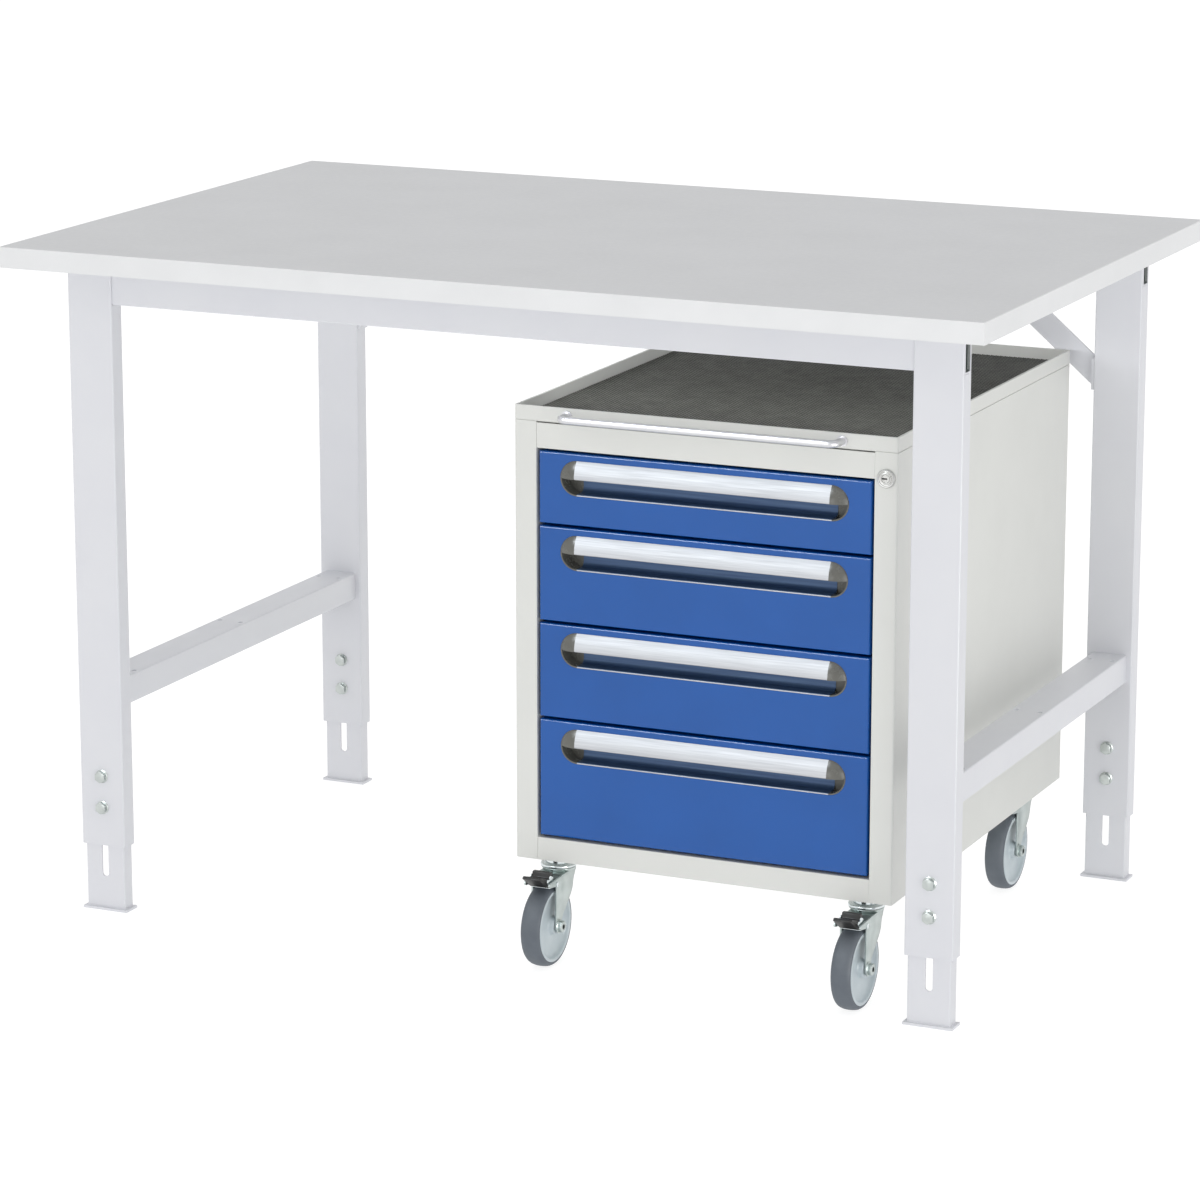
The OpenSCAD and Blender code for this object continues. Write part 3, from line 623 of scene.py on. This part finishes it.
bolt_radius = BOLT_FLATS / 2 / math.cos(math.radians(30))
bolt_top = FLANGE_THICKNESS + BOLT_HEAD
bolt_head = hexagon(bolt_radius, BOLT_HEAD, FLANGE_THICKNESS + BOLT_HEAD / 2)
cone = turned([(12, -1), (12, bolt_top - 3), (6.1, bolt_top)])
cut(bolt_head, cone, "INTERSECT")
flange = turned(
    [(4, -0.4), (FLANGE_RADIUS, -0.2), (FLANGE_RADIUS, 0.5), (7.2, FLANGE_THICKNESS),
     (4, FLANGE_THICKNESS)]
)
bolt = join([bolt_head, flange])
face_front(bolt)
smooth(bolt, 30)
count = 0
for corner in CORNERS:
    low, high = box_of("leg_" + corner)
    for height in BOLT_HEIGHTS:
        count += 1
        placed = copy_of(bolt, ((low.x + high.x) / 2, low.y, low.z + height))
        settle(placed, f"leg_bolt_{count}", "bench", "zinc_bolts", "leg_bolts")
discard(bolt)
print("leg bolts:", count)

# %% [markdown]
# ## Rail plugs
#
# The rails run right through the legs, and a moulded polyethylene plug closes each end.
# Its face has a rim and an upright rib. A block at the tube's inner size is inset for
# the rim, sunk, and the rib is drawn out of the sunk face again. It looks to the right,
# and is turned half round for the left ends.

# %% Rail plugs
PLUG_DEPTH = 12
PLUG_WIDTH = 15
PLUG_RIM = 1.6
PLUG_SINK = 2.2

low, high = box_of("rail_plugs")
plug = block((PLUG_DEPTH, PLUG_WIDTH, high.z - low.z), round_off=0.6)
edit(plug)
pick(plug, "FACE", lambda face: face.normal.x > 0.99)
bpy.ops.mesh.inset(thickness=mm(PLUG_RIM))
bpy.ops.transform.translate(value=(-mm(PLUG_SINK), 0, 0))
bpy.ops.mesh.inset(thickness=mm(0.1))
bpy.ops.transform.resize(value=(1, 0.25, 0.96))
bpy.ops.mesh.extrude_region_move(TRANSFORM_OT_translate={"value": (mm(PLUG_SINK), 0, 0)})
outward(plug)
ends = {
    "left": (low.x + PLUG_DEPTH / 2, 180),
    "right": (high.x - PLUG_DEPTH / 2, 0),
}
for count, corner in enumerate(CORNERS, start=1):
    x, turn = ends[corner.split("_")[1]]
    leg_low, leg_high = box_of("leg_" + corner)
    placed = copy_of(plug, (x, (leg_low.y + leg_high.y) / 2, (low.z + high.z) / 2), turn)
    settle(placed, f"rail_plug_{count}", "bench", "rail_plug", "rail_plugs")
discard(plug)
print("rail plugs:", count)

# %% [markdown]
# ## Recessed grips
#
# Each drawer is pulled by a recessed grip: a bright extruded strip that bulges over the
# upper half of a dark channel, with a thin lip below. The strip's section is an arc that
# leaves the drawer's face at the top and stands 8 mm proud at its lower edge. All is
# measured from the top drawer's cut-out.

# %% The strip's arc
GRIP_BULGE = 8

grip_low, grip_high = box_of("drawer_1_grip")
face_y = box_of("drawer_1_front")[0].y
grip_x = (grip_low.x + grip_high.x) / 2
grip_z = (grip_low.z + grip_high.z) / 2
grip_length = grip_high.x - grip_low.x
grip_half = (grip_high.z - grip_low.z) / 2
arc_radius = (grip_half**2 + GRIP_BULGE**2) / (2 * GRIP_BULGE)


def bulge(height):
    """How far the strip stands out at a height above the middle of the cut-out."""
    return math.sqrt(arc_radius**2 - height**2) - (arc_radius - GRIP_BULGE)


print("grip:", round(grip_length), "mm long, arc radius", round(arc_radius, 1), "mm")

# %% [markdown]
# ## The grip's strip
#
# The strip is drawn as a grid whose rows are moved out onto the arc, and given its 1.5 mm
# wall. A bead is turned along its lower edge, so that the edge is kind to the fingers.

# %% Strip
GRIP_WALL = 1.5
GRIP_BEAD = 1.25  # radius of the bead, and where the strip begins
GRIP_ROWS = 14

strip_height = grip_half - GRIP_BEAD
clear_selection()
bpy.ops.mesh.primitive_grid_add(
    x_subdivisions=24,
    y_subdivisions=GRIP_ROWS,
    size=1,
    rotation=(math.radians(90), 0, 0),
    location=mm(grip_x, face_y, grip_z + (grip_half + GRIP_BEAD) / 2),
)
strip = bpy.context.object
strip.scale = mm(grip_length, strip_height, 1)
apply_place(strip)
edit(strip)
for row in range(GRIP_ROWS + 1):
    height = GRIP_BEAD + row * strip_height / GRIP_ROWS
    pick(strip, "VERT", lambda point: abs(middle(point).z - grip_z - height) < 0.2)
    bpy.ops.transform.translate(value=(0, -mm(bulge(height)), 0))
bpy.ops.object.mode_set(mode="OBJECT")
modify(strip, "SOLIDIFY", thickness=mm(GRIP_WALL), offset=-1)
bead = turned(
    [(0.9, 0), (GRIP_BEAD, 0.35), (GRIP_BEAD, grip_length - 0.35), (0.9, grip_length)], 20
)
face_side(bead)
move(bead, grip_low.x, face_y - GRIP_BULGE + GRIP_BEAD, grip_z + GRIP_BEAD)
strip = join([strip, bead])
smooth(strip, 40)
print("strip faces:", len(strip.data.polygons))

# %% [markdown]
# ## The grip's channel and lip
#
# The channel behind the strip is rolled from one sheet. It is open to the front and at
# its ends, where the moulded caps close it. So a block loses its front and its ends, and
# its two long rear edges are rounded. The lip lines the lower edge of the cut-out.

# %% Channel and lip
CHANNEL_DEPTH = 20.5
CHANNEL_GAP = 3  # how much lower than the cut-out the channel is
CHANNEL_ROLL = 7
LIP_WIDTH = 3.2

channel = block(
    (grip_length, CHANNEL_DEPTH, 2 * grip_half - CHANNEL_GAP),
    (grip_x, face_y + CHANNEL_DEPTH / 2, grip_z),
)
edit(channel)
pick(channel, "FACE", lambda face: face.normal.y < -0.9 or abs(face.normal.x) > 0.9)
bpy.ops.mesh.delete(type="FACE")
pick(
    channel,
    "EDGE",
    lambda edge: middle(edge).y > face_y + CHANNEL_DEPTH - 1
    and abs(edge.verts[0].co.x - edge.verts[1].co.x) > mm(50),
)
bpy.ops.mesh.bevel(offset=mm(CHANNEL_ROLL), segments=6)
bpy.ops.mesh.select_all(action="SELECT")
bpy.ops.mesh.normals_make_consistent(inside=False)
bpy.ops.object.mode_set(mode="OBJECT")
modify(channel, "SOLIDIFY", thickness=mm(1.0), offset=0)
smooth(channel, 40)

lip = block(
    (grip_length, LIP_WIDTH, GRIP_WALL),
    (grip_x, face_y + 1, grip_z - grip_half + GRIP_WALL / 2),
    round_off=0.5,
    segments=3,
)
smooth(lip, 40)
print("channel:", CHANNEL_DEPTH, "mm deep")

# %% [markdown]
# ## A grip for every drawer
#
# The four drawers differ in height, but their grips are cut from the same profiles. Only
# the height above the floor changes.

# %% Grips on the drawers
for number in range(1, 5):
    drawer, grip = f"drawer_{number}", f"drawer_{number}_grip"
    lift = (0, 0, box_of(grip)[0].z - grip_low.z)
    settle(copy_of(strip, lift), grip + "_strip", drawer, "grip_aluminium", grip)
    # The recess takes the channel finish, whose dark blue-grey is painted shade and
    # painted reflection.
    settle(
        copy_of(channel, lift), drawer + "_recess", drawer, "grip_aluminium", grip,
        finish="grip_channel_painted_shade",
    )
    settle(copy_of(lip, lift), grip + "_lip", drawer, "grip_aluminium", grip)
discard(strip, channel, lip)
print("grips:", number)

# %% [markdown]
# ## Lock
#
# The lock is a cam lock in the right post. Its nickel-plated rosette is turned with a
# raised rim and a groove round the plug. The plug is turned too, and its keyway is cut by
# a boolean with a narrow block, a little left of the middle. A thin black plate just
# below the keyway's mouth is painted shade: it darkens the keyway as its depth would.

# %% Lock
KEYWAY_X = -1.2  # left of the plug's middle
KEYWAY = (6.6, 1.9, 16)
# A thin black plate in the keyway, as painted shade
KEYWAY_SHADE_PLATE = (6.2, 1.5, 0.6)
CAM = (14, 9.5, 2)

low, high = box_of("lock_body")
lock_place = (
    (low.x + high.x) / 2, box_of("cabinet_side_right")[0].y, (low.z + high.z) / 2
)
rosette = turned(
    [(5.05, -20), (8, -20), (8, 0), (11.2, 0), (11.2, 1.2), (10.7, 2.3), (9.8, 3.0),
     (8.9, 2.9), (8.1, 2.1), (7.0, 1.9), (6.4, 2.8), (5.8, 3.0), (5.05, 2.8),
     (5.05, -20)],
    72,
)
face_front(rosette)
move(rosette, *lock_place)
smooth(rosette, 30)
settle(rosette, "lock_rosette", "cabinet", "lock_nickel", "lock_body")

key_plug = turned(
    [(4.95, -26), (4.95, 2.4), (4.4, 3.1), (3.2, 3.1), (3.0, 2.8), (1, 2.8)]
)
cut(key_plug, block(KEYWAY, (KEYWAY_X, 0, 0)))
cam = block(CAM, (2, 0, -25.3), round_off=0.4)
key_plug = join([key_plug, cam])
face_front(key_plug)
move(key_plug, *lock_place)
smooth(key_plug, 30)
settle(key_plug, "lock_key_plug", "lock_plug", "lock_nickel", "lock_plug")

# The black plate below the keyway's mouth is painted shade for the keyway's depth.
keyway_shade_plate = block(KEYWAY_SHADE_PLATE, (KEYWAY_X, 0, 1.6))
face_front(keyway_shade_plate)
move(keyway_shade_plate, *lock_place)
settle(keyway_shade_plate, "lock_keyway_painted_shade", "lock_plug", "lock_nickel", finish="pedal_plastic")
print("lock at", [round(value) for value in lock_place], "mm")

# %% [markdown]
# ## Rubber mat
#
# The mat in the tray is pressed from rubber, with rows of small diamond studs that keep
# tools from sliding. They are drawn larger than life, so that they show. A grid is turned
# by 45 degrees, so that its cells are diamonds. Every cell is inset on its own and
# raised, which gives a stud with sloping sides. Then the sheet is bisected at its four
# sides, through the studs, as a knife trims the real one.

# %% Mat
STUD_PITCH = 6.0  # corner to corner, in mm
STUD_SLOPE = 1.15
STUD_HEIGHT = 0.9

low, high = box_of("tray_mat")
mat_centre = (low + high) / 2
cell = STUD_PITCH / math.sqrt(2)
cells = math.ceil(math.hypot(high.x - low.x, high.y - low.y) / cell / 2) * 2
clear_selection()
bpy.ops.mesh.primitive_grid_add(
    x_subdivisions=cells,
    y_subdivisions=cells,
    size=mm(cells * cell),
    rotation=(0, 0, math.radians(45)),
    location=mm(mat_centre.x, mat_centre.y, high.z - STUD_HEIGHT),
)
mat = bpy.context.object
apply_place(mat)
edit(mat)
pick(
    mat,
    "FACE",
    lambda face: abs(middle(face).x - mat_centre.x) > (high.x - low.x) / 2 + STUD_PITCH
    or abs(middle(face).y - mat_centre.y) > (high.y - low.y) / 2 + STUD_PITCH,
)
bpy.ops.mesh.delete(type="FACE")
bpy.ops.mesh.select_all(action="SELECT")
bpy.ops.mesh.inset(thickness=mm(STUD_SLOPE), depth=mm(STUD_HEIGHT), use_individual=True)
for corner, direction in ((low, 1), (high, -1)):
    for axis in ((1, 0, 0), (0, 1, 0)):
        bpy.ops.mesh.select_all(action="SELECT")
        bpy.ops.mesh.bisect(
            plane_co=corner / 1000,
            plane_no=Vector(axis) * -direction,
            clear_outer=True,
        )
print("studs across:", cells)

# %% [markdown]
# ## The mat's underside and its paler stud tops
#
# The sheet's open border is drawn down to the tray's floor and closed by one face below.
# The studs' flat tops get a paler rubber, which is a painted highlight on their crests.

# %% Underside and stud tops
bpy.ops.mesh.select_all(action="DESELECT")
bpy.ops.mesh.select_mode(type="EDGE")
bpy.ops.mesh.select_non_manifold(extend=False)
bpy.ops.mesh.extrude_region_move(TRANSFORM_OT_translate={"value": (0, 0, -mm(1))})
bpy.ops.transform.resize(value=(1, 1, 0), center_override=(0, 0, mm(low.z)))
bpy.ops.mesh.edge_face_add()
bpy.ops.object.mode_set(mode="OBJECT")
outward(mat)
settle(mat, "rubber_mat", "cabinet", "ribbed_rubber", "tray_mat")
# The stud tops take the paler rubber: a painted highlight.
mat.data.materials.append(finishes["stud_top_painted_highlight"])
for face in mat.data.polygons:
    if face.center.z > mm(high.z - 0.1):
        face.material_index = 1
print("mat faces:", len(mat.data.polygons))

# %% [markdown]
# ## Caster heads
#
# A caster's head is pressed and riveted: a race that is bolted under the cabinet, and a
# neck that is riveted over below the fork. It is one turned profile with a rolled edge.
# The stem goes up through the cabinet's base to its nut.

# %% Caster heads
SWIVEL_TO_AXLE = 36
AXLE_HEIGHT = 50
NUT_RADIUS = 10.97  # 19 mm across the flats

swivels = {}
for corner in CORNERS:
    low, high = box_of("tyre_" + corner)
    swivels[corner] = ((low.x + high.x) / 2, (low.y + high.y) / 2 + SWIVEL_TO_AXLE)

head_low, head_high = box_of("caster_heads")
base_z = box_of("cabinet_base")[0].z
head = turned(
    [(8, head_low.z), (13.2, head_low.z), (14, 105.6), (14, 107.2), (13.3, 108.2),
     (12, 108.2), (12, 115.5), (20.6, 115.5), (21.6, 115.9), (22, 116.7), (22, 117.8),
     (21.5, 118.7), (20.6, 119), (19.9, 118.7), (19.4, 118), (17.9, 118), (17.2, 118.8),
     (16, 119.6), (16, base_z), (6, base_z), (6, head_high.z - 1), (5, head_high.z)],
    72,
)
smooth(head, 30)
head = join([head, hexagon(NUT_RADIUS, 8, head_high.z - 6, round_off=0.8)])
# The heads take the lighter zinc, which is painted light.
for corner, (x, y) in swivels.items():
    settle(
        copy_of(head, (x, y, 0)), "caster_head_" + corner, "cabinet", "zinc_sheet",
        "caster_heads", finish="zinc_race",
    )
discard(head)
print("caster heads:", len(swivels))

# %% [markdown]
# ## Sheet-metal plates
#
# The casters' forks and pedals are pressed from strip. The blank's outline comes first.
# `blank` takes a circle with as many points as the outline has corners, puts each point
# on its corner, rounds some corners, and extrudes the face to the sheet's thickness.
# Outlines are given in Y and Z, because these plates all stand along the cabinet's side.

# %% Blanks
def blank(outline, thickness, bevel, rounds=()):
    """A plate centred on X = 0 from an outline in Y and Z. Some corners are rounded."""
    clear_selection()
    bpy.ops.mesh.primitive_circle_add(
        vertices=len(outline), fill_type="NGON", rotation=(0, math.radians(90), 0)
    )
    plate = bpy.context.object
    apply_place(plate)
    for point, (y, z) in zip(plate.data.vertices, outline):
        point.co = Vector(mm(-thickness / 2, y, z))
    edit(plate)
    for (y, z), radius in rounds:
        corner = Vector((-thickness / 2, y, z))
        pick(plate, "VERT", lambda point: (middle(point) - corner).length < 0.1)
        bpy.ops.mesh.bevel(offset=mm(radius), segments=6, affect="VERTICES")
    bpy.ops.mesh.select_mode(type="FACE")
    bpy.ops.mesh.select_all(action="SELECT")
    bpy.ops.mesh.extrude_region_move(
        TRANSFORM_OT_translate={"value": (mm(thickness), 0, 0)}
    )
    outward(plate)
    modify(plate, "BEVEL", width=mm(bevel), segments=2, limit_method="ANGLE")
    return plate


# %% [markdown]
# ## Forks
#
# The fork is one pressing of 2.5 mm zinc-plated strip: a conical dish that turns under
# the race, a flat crown with a short apron, and two sides that run down to the axle and
# forward to the brake's pivot. Each side's front edge is upright, and its rear edge
# slants to the axle. The crown's long edges are round, where the strip is folded down.

# %% Fork sides, crown and apron
CROWN_TOP = 111
FORK_SHEET = 2.5
FORK_HALF = 17  # outer half width
FORK_ROLL = 2.4
CROWN_LENGTH = 37
APRON_DEPTH = 8

side = blank(
    [(13, CROWN_TOP), (9.5, 104), (6.5, 100), (3, 87), (-4, 79), (-25.5, 60.5),
     (-28.6, 53.5), (-28.6, 48.8), (-30, 45.5), (-32.6, 43.3), (-36, 42.5), (-39.4, 43.3),
     (-42, 45.5), (-43.4, 48.8), (-42, 93), (-42, 101), (-61, 104), (-63, 106),
     (-62, 109), (-24, CROWN_TOP)],
    FORK_SHEET,
    0.6,
    rounds=(
        ((9.5, 104), 2), ((6.5, 100), 2.2), ((3, 87), 4), ((-4, 79), 5),
        ((-25.5, 60.5), 3), ((-42, 101), 3), ((-61, 104), 1.2), ((-63, 106), 1.2),
        ((-62, 109), 1.2),
    ),
)
far_side = copy_of(side)
move(side, FORK_HALF - FORK_SHEET / 2, 0, 0)
move(far_side, FORK_SHEET / 2 - FORK_HALF, 0, 0)

crown = block(
    (2 * FORK_HALF, CROWN_LENGTH, FORK_SHEET), (0, -5.5, CROWN_TOP - FORK_SHEET / 2)
)
edit(crown)
pick(
    crown,
    "EDGE",
    lambda edge: middle(edge).z > CROWN_TOP - 0.1
    and abs(middle(edge).x) > FORK_HALF - 0.1,
)
bpy.ops.mesh.bevel(offset=mm(FORK_ROLL), segments=6)
bpy.ops.object.mode_set(mode="OBJECT")
apron = block(
    (2 * FORK_HALF - 4, 2, APRON_DEPTH),
    (0, -22.8, CROWN_TOP - 5),
    round_off=0.6,
    segments=3,
)
print("fork:", 2 * FORK_HALF, "mm wide")

# %% [markdown]
# ## The fork's dish
#
# The dish holds the lower row of balls. It is turned as a ring, and a small drill makes
# the oval hole in its front through which it is greased.

# %% Dish
HOLE_RADIUS = 1.2
HOLE_STRETCH = 1.7  # how much wider than high the hole is

dish = turned(
    [(12.3, 108.5), (16.8, 108.5), (18.6, 110.9), (19.2, 111.4), (20.9, 113.8),
     (21.3, 114.5), (21.1, 115), (20.4, 115.2), (12.3, 115.2), (12.3, 108.5)],
    72,
)
clear_selection()
bpy.ops.mesh.primitive_cylinder_add(
    vertices=24, radius=mm(HOLE_RADIUS), depth=mm(12), location=mm(0, -21, 113),
    rotation=(math.radians(90), 0, 0),
)
drill = bpy.context.object
drill.scale.x = HOLE_STRETCH
apply_place(drill)
cut(dish, drill)
print("dish faces:", len(dish.data.polygons))

# %% [markdown]
# ## The axle
#
# A sleeve runs between the fork's sides, and a bolt through it ends in a collar, a nut
# and a short stub on either side. One end is modelled, copied and turned over.

# %% Axle, and a fork for every caster
AXLE_NUT_RADIUS = 7.5  # 13 mm across the flats

axle = turned(
    [(5.9, -FORK_HALF), (6, -FORK_HALF + 0.1), (6, FORK_HALF - 0.1), (5.9, FORK_HALF)], 32
)
axle_nut = hexagon(AXLE_NUT_RADIUS, 5, FORK_HALF + 3.5, round_off=0.9)
collar = turned(
    [(5, FORK_HALF - 0.3), (8.6, FORK_HALF - 0.3), (8.6, FORK_HALF + 0.7),
     (7.8, FORK_HALF + 1.4), (5, FORK_HALF + 1.4)],
    40,
)
stub = turned(
    [(3, FORK_HALF), (3.9, FORK_HALF + 1), (3.9, FORK_HALF + 5.8), (3, FORK_HALF + 6)], 24
)
near_end = join([axle_nut, collar, stub])
far_end = copy_of(near_end)
far_end.rotation_euler.x = math.radians(180)
apply_place(far_end)
axle = join([axle, near_end, far_end])
face_side(axle)
move(axle, 0, -SWIVEL_TO_AXLE, AXLE_HEIGHT)

fork = join([side, far_side, crown, apron, dish, axle])
smooth(fork, 32)
for corner, (x, y) in swivels.items():
    settle(
        copy_of(fork, (x, y, 0)), "caster_fork_" + corner, "swivel_" + corner,
        "zinc_sheet", "fork_" + corner,
    )
discard(fork)
print("forks:", len(swivels))

# %% [markdown]
# ## Wheels
#
# A wheel is moulded in two shots: a polypropylene hub with a dished web, and a soft
# tread with round shoulders that is injected round it. Both are turned as closed rings. A
# profile is written for one half of the width and mirrored for the other.

# %% Wheels
def mirrored_ring(half_profile, points=112):
    """A ring with two like sides. Its half profile runs from the bore to the middle."""
    other = [(radius, -height) for radius, height in reversed(half_profile)]
    return turned(half_profile + other + [half_profile[0]], points)


HUB_EDGE = 43.9
tread = mirrored_ring(
    [(HUB_EDGE, 12.1), (44.6, 12.4), (45.6, 12.3), (46.8, 11.6), (47.8, 10.5),
     (48.7, 8.9), (49.3, 7.0), (49.7, 4.9), (49.9, 2.6), (50, 0.4)]
)
hub = mirrored_ring(
    [(6.2, 13.8), (9.6, 13.8), (10.2, 13.2), (10.6, 9.6), (11.6, 7.8), (13.4, 7.0),
     (24, 6.6), (35, 7.1), (38, 8.2), (39.2, 9.8), (39.7, 11.6), (40.4, 12.4),
     (41.6, 12.8), (43, 12.7), (HUB_EDGE, 12.1)]
)
for piece in (tread, hub):
    smooth(piece, 40)
    face_side(piece)
for corner, (x, y) in swivels.items():
    place = (x, y - SWIVEL_TO_AXLE, AXLE_HEIGHT)
    wheel = "wheel_" + corner
    settle(
        copy_of(tread, place), "tread_" + corner, wheel, "tyre_rubber", "tyre_" + corner
    )
    settle(
        copy_of(hub, place), "wheel_hub_" + corner, wheel, "hub_plastic", "hub_" + corner
    )
discard(tread, hub)
print("wheels:", len(swivels))

# %% [markdown]
# ## Brake pedals
#
# A front caster's brake is a black nylon rocker with two toes: the lower one is pressed
# to brake, the upper one to let go. It sits on a zinc-plated stirrup that turns on the
# fork's nose. The rocker is a thick blank whose outline shows both toes.

# %% Rocker
ROCKER_WIDTH = 23

rocker = blank(
    [(-39.5, 106), (-43.5, 119.5), (-50, 119.5), (-52, 112.6), (-76, 120.2), (-79, 117.6),
     (-67, 109.4), (-56, 102), (-51, 101.4), (-39.5, 101.8)],
    ROCKER_WIDTH,
    0.8,
    rounds=(
        ((-43.5, 119.5), 1.6), ((-50, 119.5), 1.2), ((-52, 112.6), 2), ((-76, 120.2), 1),
        ((-79, 117.6), 1), ((-56, 102), 2), ((-39.5, 101.8), 1),
    ),
)
smooth(rocker, 35)
print("rocker:", ROCKER_WIDTH, "mm wide")

# %% [markdown]
# ## The pedal's stirrup
#
# Two cheeks of thin strip hold the rocker between them. A pin through both turns in the
# fork's nose, and a strap under the rocker joins them.

# %% Stirrup, and a pedal for both front casters
PIVOT = (-42, 104)
CHEEK_X = 12.6
CHEEK_SHEET = 1.6
PIN_HALF = 18.4
STRAP = (25.5, 9, 0.8)

cheek = blank(
    [(-38.6, 103), (-39.8, 108), (-45, 113.5), (-51, 116.5), (-54, 112.5), (-60, 113.5),
     (-61, 110.5), (-56, 104.5), (-51, 100.9), (-42, 100.4)],
    CHEEK_SHEET,
    0.4,
    rounds=(
        ((-45, 113.5), 2), ((-51, 116.5), 1), ((-54, 112.5), 2), ((-60, 113.5), 0.8),
        ((-42, 100.4), 1),
    ),
)
far_cheek = copy_of(cheek)
move(cheek, CHEEK_X, 0, 0)
move(far_cheek, -CHEEK_X, 0, 0)
pin = turned([(2.4, -PIN_HALF), (3.1, -18), (3.1, 18), (2.4, PIN_HALF)], 32)
face_side(pin)
move(pin, 0, *PIVOT)
strap = block(STRAP, (0, -48, 100.9), round_off=0.25)
stirrup = join([cheek, far_cheek, pin, strap])
smooth(stirrup, 35)
FRONT_CORNERS = CORNERS[:2]
for corner in FRONT_CORNERS:
    x, y = swivels[corner]
    pedal = "pedal_" + corner
    settle(
        copy_of(rocker, (x, y, 0)), "brake_rocker_" + corner, pedal, "pedal_plastic",
        pedal,
    )
    # The stirrup takes the lighter zinc, which is painted light.
    settle(
        copy_of(stirrup, (x, y, 0)), "brake_stirrup_" + corner, pedal, "zinc_sheet",
        finish="zinc_race",
    )
discard(rocker, stirrup)
print("pedals:", len(FRONT_CORNERS))

# %% [markdown]
# ## The studio's floor
#
# The floor is a large pale plane that keeps the object's shadow and throws light back up,
# as a white studio floor does. Seen by the camera, or in a reflection, it glows by itself
# to a white background, and the lamps have little part in it.

# %% Floor
FLOOR_COLOUR = 0.85
FLOOR_FILL = 0.36  # what the floor sends up without any lamp
SEEN_COLOUR = 0.3
SEEN_GLOW = 0.85
WHITE = (1, 1, 1, 1)


def seen_directly(shading):
    """One for what the camera, a reflection or glass shows, and nought for the rest."""
    ray = add_node(shading, "LightPath")
    seen = ray.outputs["Is Camera Ray"]
    for kind in ("Is Glossy Ray", "Is Transmission Ray"):
        seen = add_node(
            shading, "Math", {0: seen, 1: ray.outputs[kind]}, operation="MAXIMUM"
        ).outputs[0]
    return seen


def glowing(shading, colour, strength):
    """A diffuse surface that also glows white."""
    diffuse = add_node(shading, "BsdfDiffuse", {"Color": (colour, colour, colour, 1)})
    glow = add_node(shading, "Emission", {"Color": WHITE, "Strength": strength})
    return add_node(shading, "AddShader", {0: diffuse.outputs[0], 1: glow.outputs[0]})


clear_selection()
bpy.ops.mesh.primitive_plane_add(size=60, location=(0, 0, 0))
floor = bpy.context.object
floor.name = "floor"

material = bpy.data.materials.new("studio_floor")
material.use_nodes = True
material.node_tree.nodes.clear()
lit = glowing(material, FLOOR_COLOUR, FLOOR_FILL)
seen = glowing(material, SEEN_COLOUR, SEEN_GLOW)
mixed = add_node(
    material,
    "MixShader",
    {0: seen_directly(material), 1: lit.outputs[0], 2: seen.outputs[0]},
)
add_node(material, "OutputMaterial", {"Surface": mixed.outputs[0]})
floor.data.materials.append(material)
print("floor:", floor.dimensions.x, "m across")

# %% [markdown]
# ## The studio's sky
#
# The world is a plain white tent round the object. As a background it has full strength,
# and as light it is a little weaker, so that pale paint keeps its shade.

# %% Sky
WORLD_LIGHT = 0.82

world = bpy.data.worlds.new("studio")
bpy.context.scene.world = world
world.use_nodes = True
world.node_tree.nodes.clear()
strength = add_node(
    world,
    "MapRange",
    {"Value": seen_directly(world), "To Min": WORLD_LIGHT, "To Max": 1.0},
)
sky = add_node(world, "Background", {"Color": WHITE, "Strength": strength.outputs[0]})
add_node(world, "OutputWorld", {"Surface": sky.outputs[0]})
print("sky:", WORLD_LIGHT, "as light")

# %% [markdown]
# ## The studio's lamps
#
# Two broad lamps stand low, in front and at the right, so that they model the uprights
# and leave the worktop to the sky. Two more act on gloss alone. A cool one above draws
# the bright lines along the drawers' upper folds and the streaks on their grips, and a
# small one beside the front right leg draws the line along its fold. A weak strip under
# the worktop lifts the tray and the brace out of its shade.

# %% Lamps
def add_lamp(name, place, target, size, power):
    """A soft lamp that looks at a point: one size, or width and height, in m, and W."""
    bpy.ops.object.light_add(type="AREA", location=place)
    lamp = bpy.context.object
    lamp.name = name
    if isinstance(size, tuple):
        lamp.data.shape = "RECTANGLE"
        lamp.data.size, lamp.data.size_y = size
    else:
        lamp.data.size = size
    lamp.data.energy = power
    direction = Vector(target) - Vector(place)
    lamp.rotation_euler = direction.to_track_quat("-Z", "Y").to_euler()
    return lamp


add_lamp("front_lamp", (-0.8, -5.6, 0.7), (0, 0, 0.6), 2.0, 24)
add_lamp("side_lamp", (4.8, -3.7, 0.7), (0, 0, 0.6), 2.0, 26)
edge_lamp = add_lamp("edge_lamp", (-0.95, -2.27, 2.38), (0.25, -0.29, 0.4), 0.9, 54)
edge_lamp.data.color = (0.88, 0.95, 1.0)
edge_lamp.visible_diffuse = False
fold_lamp = add_lamp("fold_lamp", (1.55, -0.75, 0.27), (0.5, -0.3, 0.3), (0.25, 0.5), 14)
fold_lamp.visible_camera = False
fold_lamp.visible_diffuse = False
under_lamp = add_lamp(
    "under_lamp", (0.12, -0.3, 0.785), (0.12, 0.4, 0.78), (0.8, 0.05), 0.9
)
under_lamp.data.spread = math.radians(130)
under_lamp.visible_camera = False
under_lamp.visible_glossy = False
bpy.context.scene.view_settings.view_transform = "Standard"
bpy.context.view_layer.update()
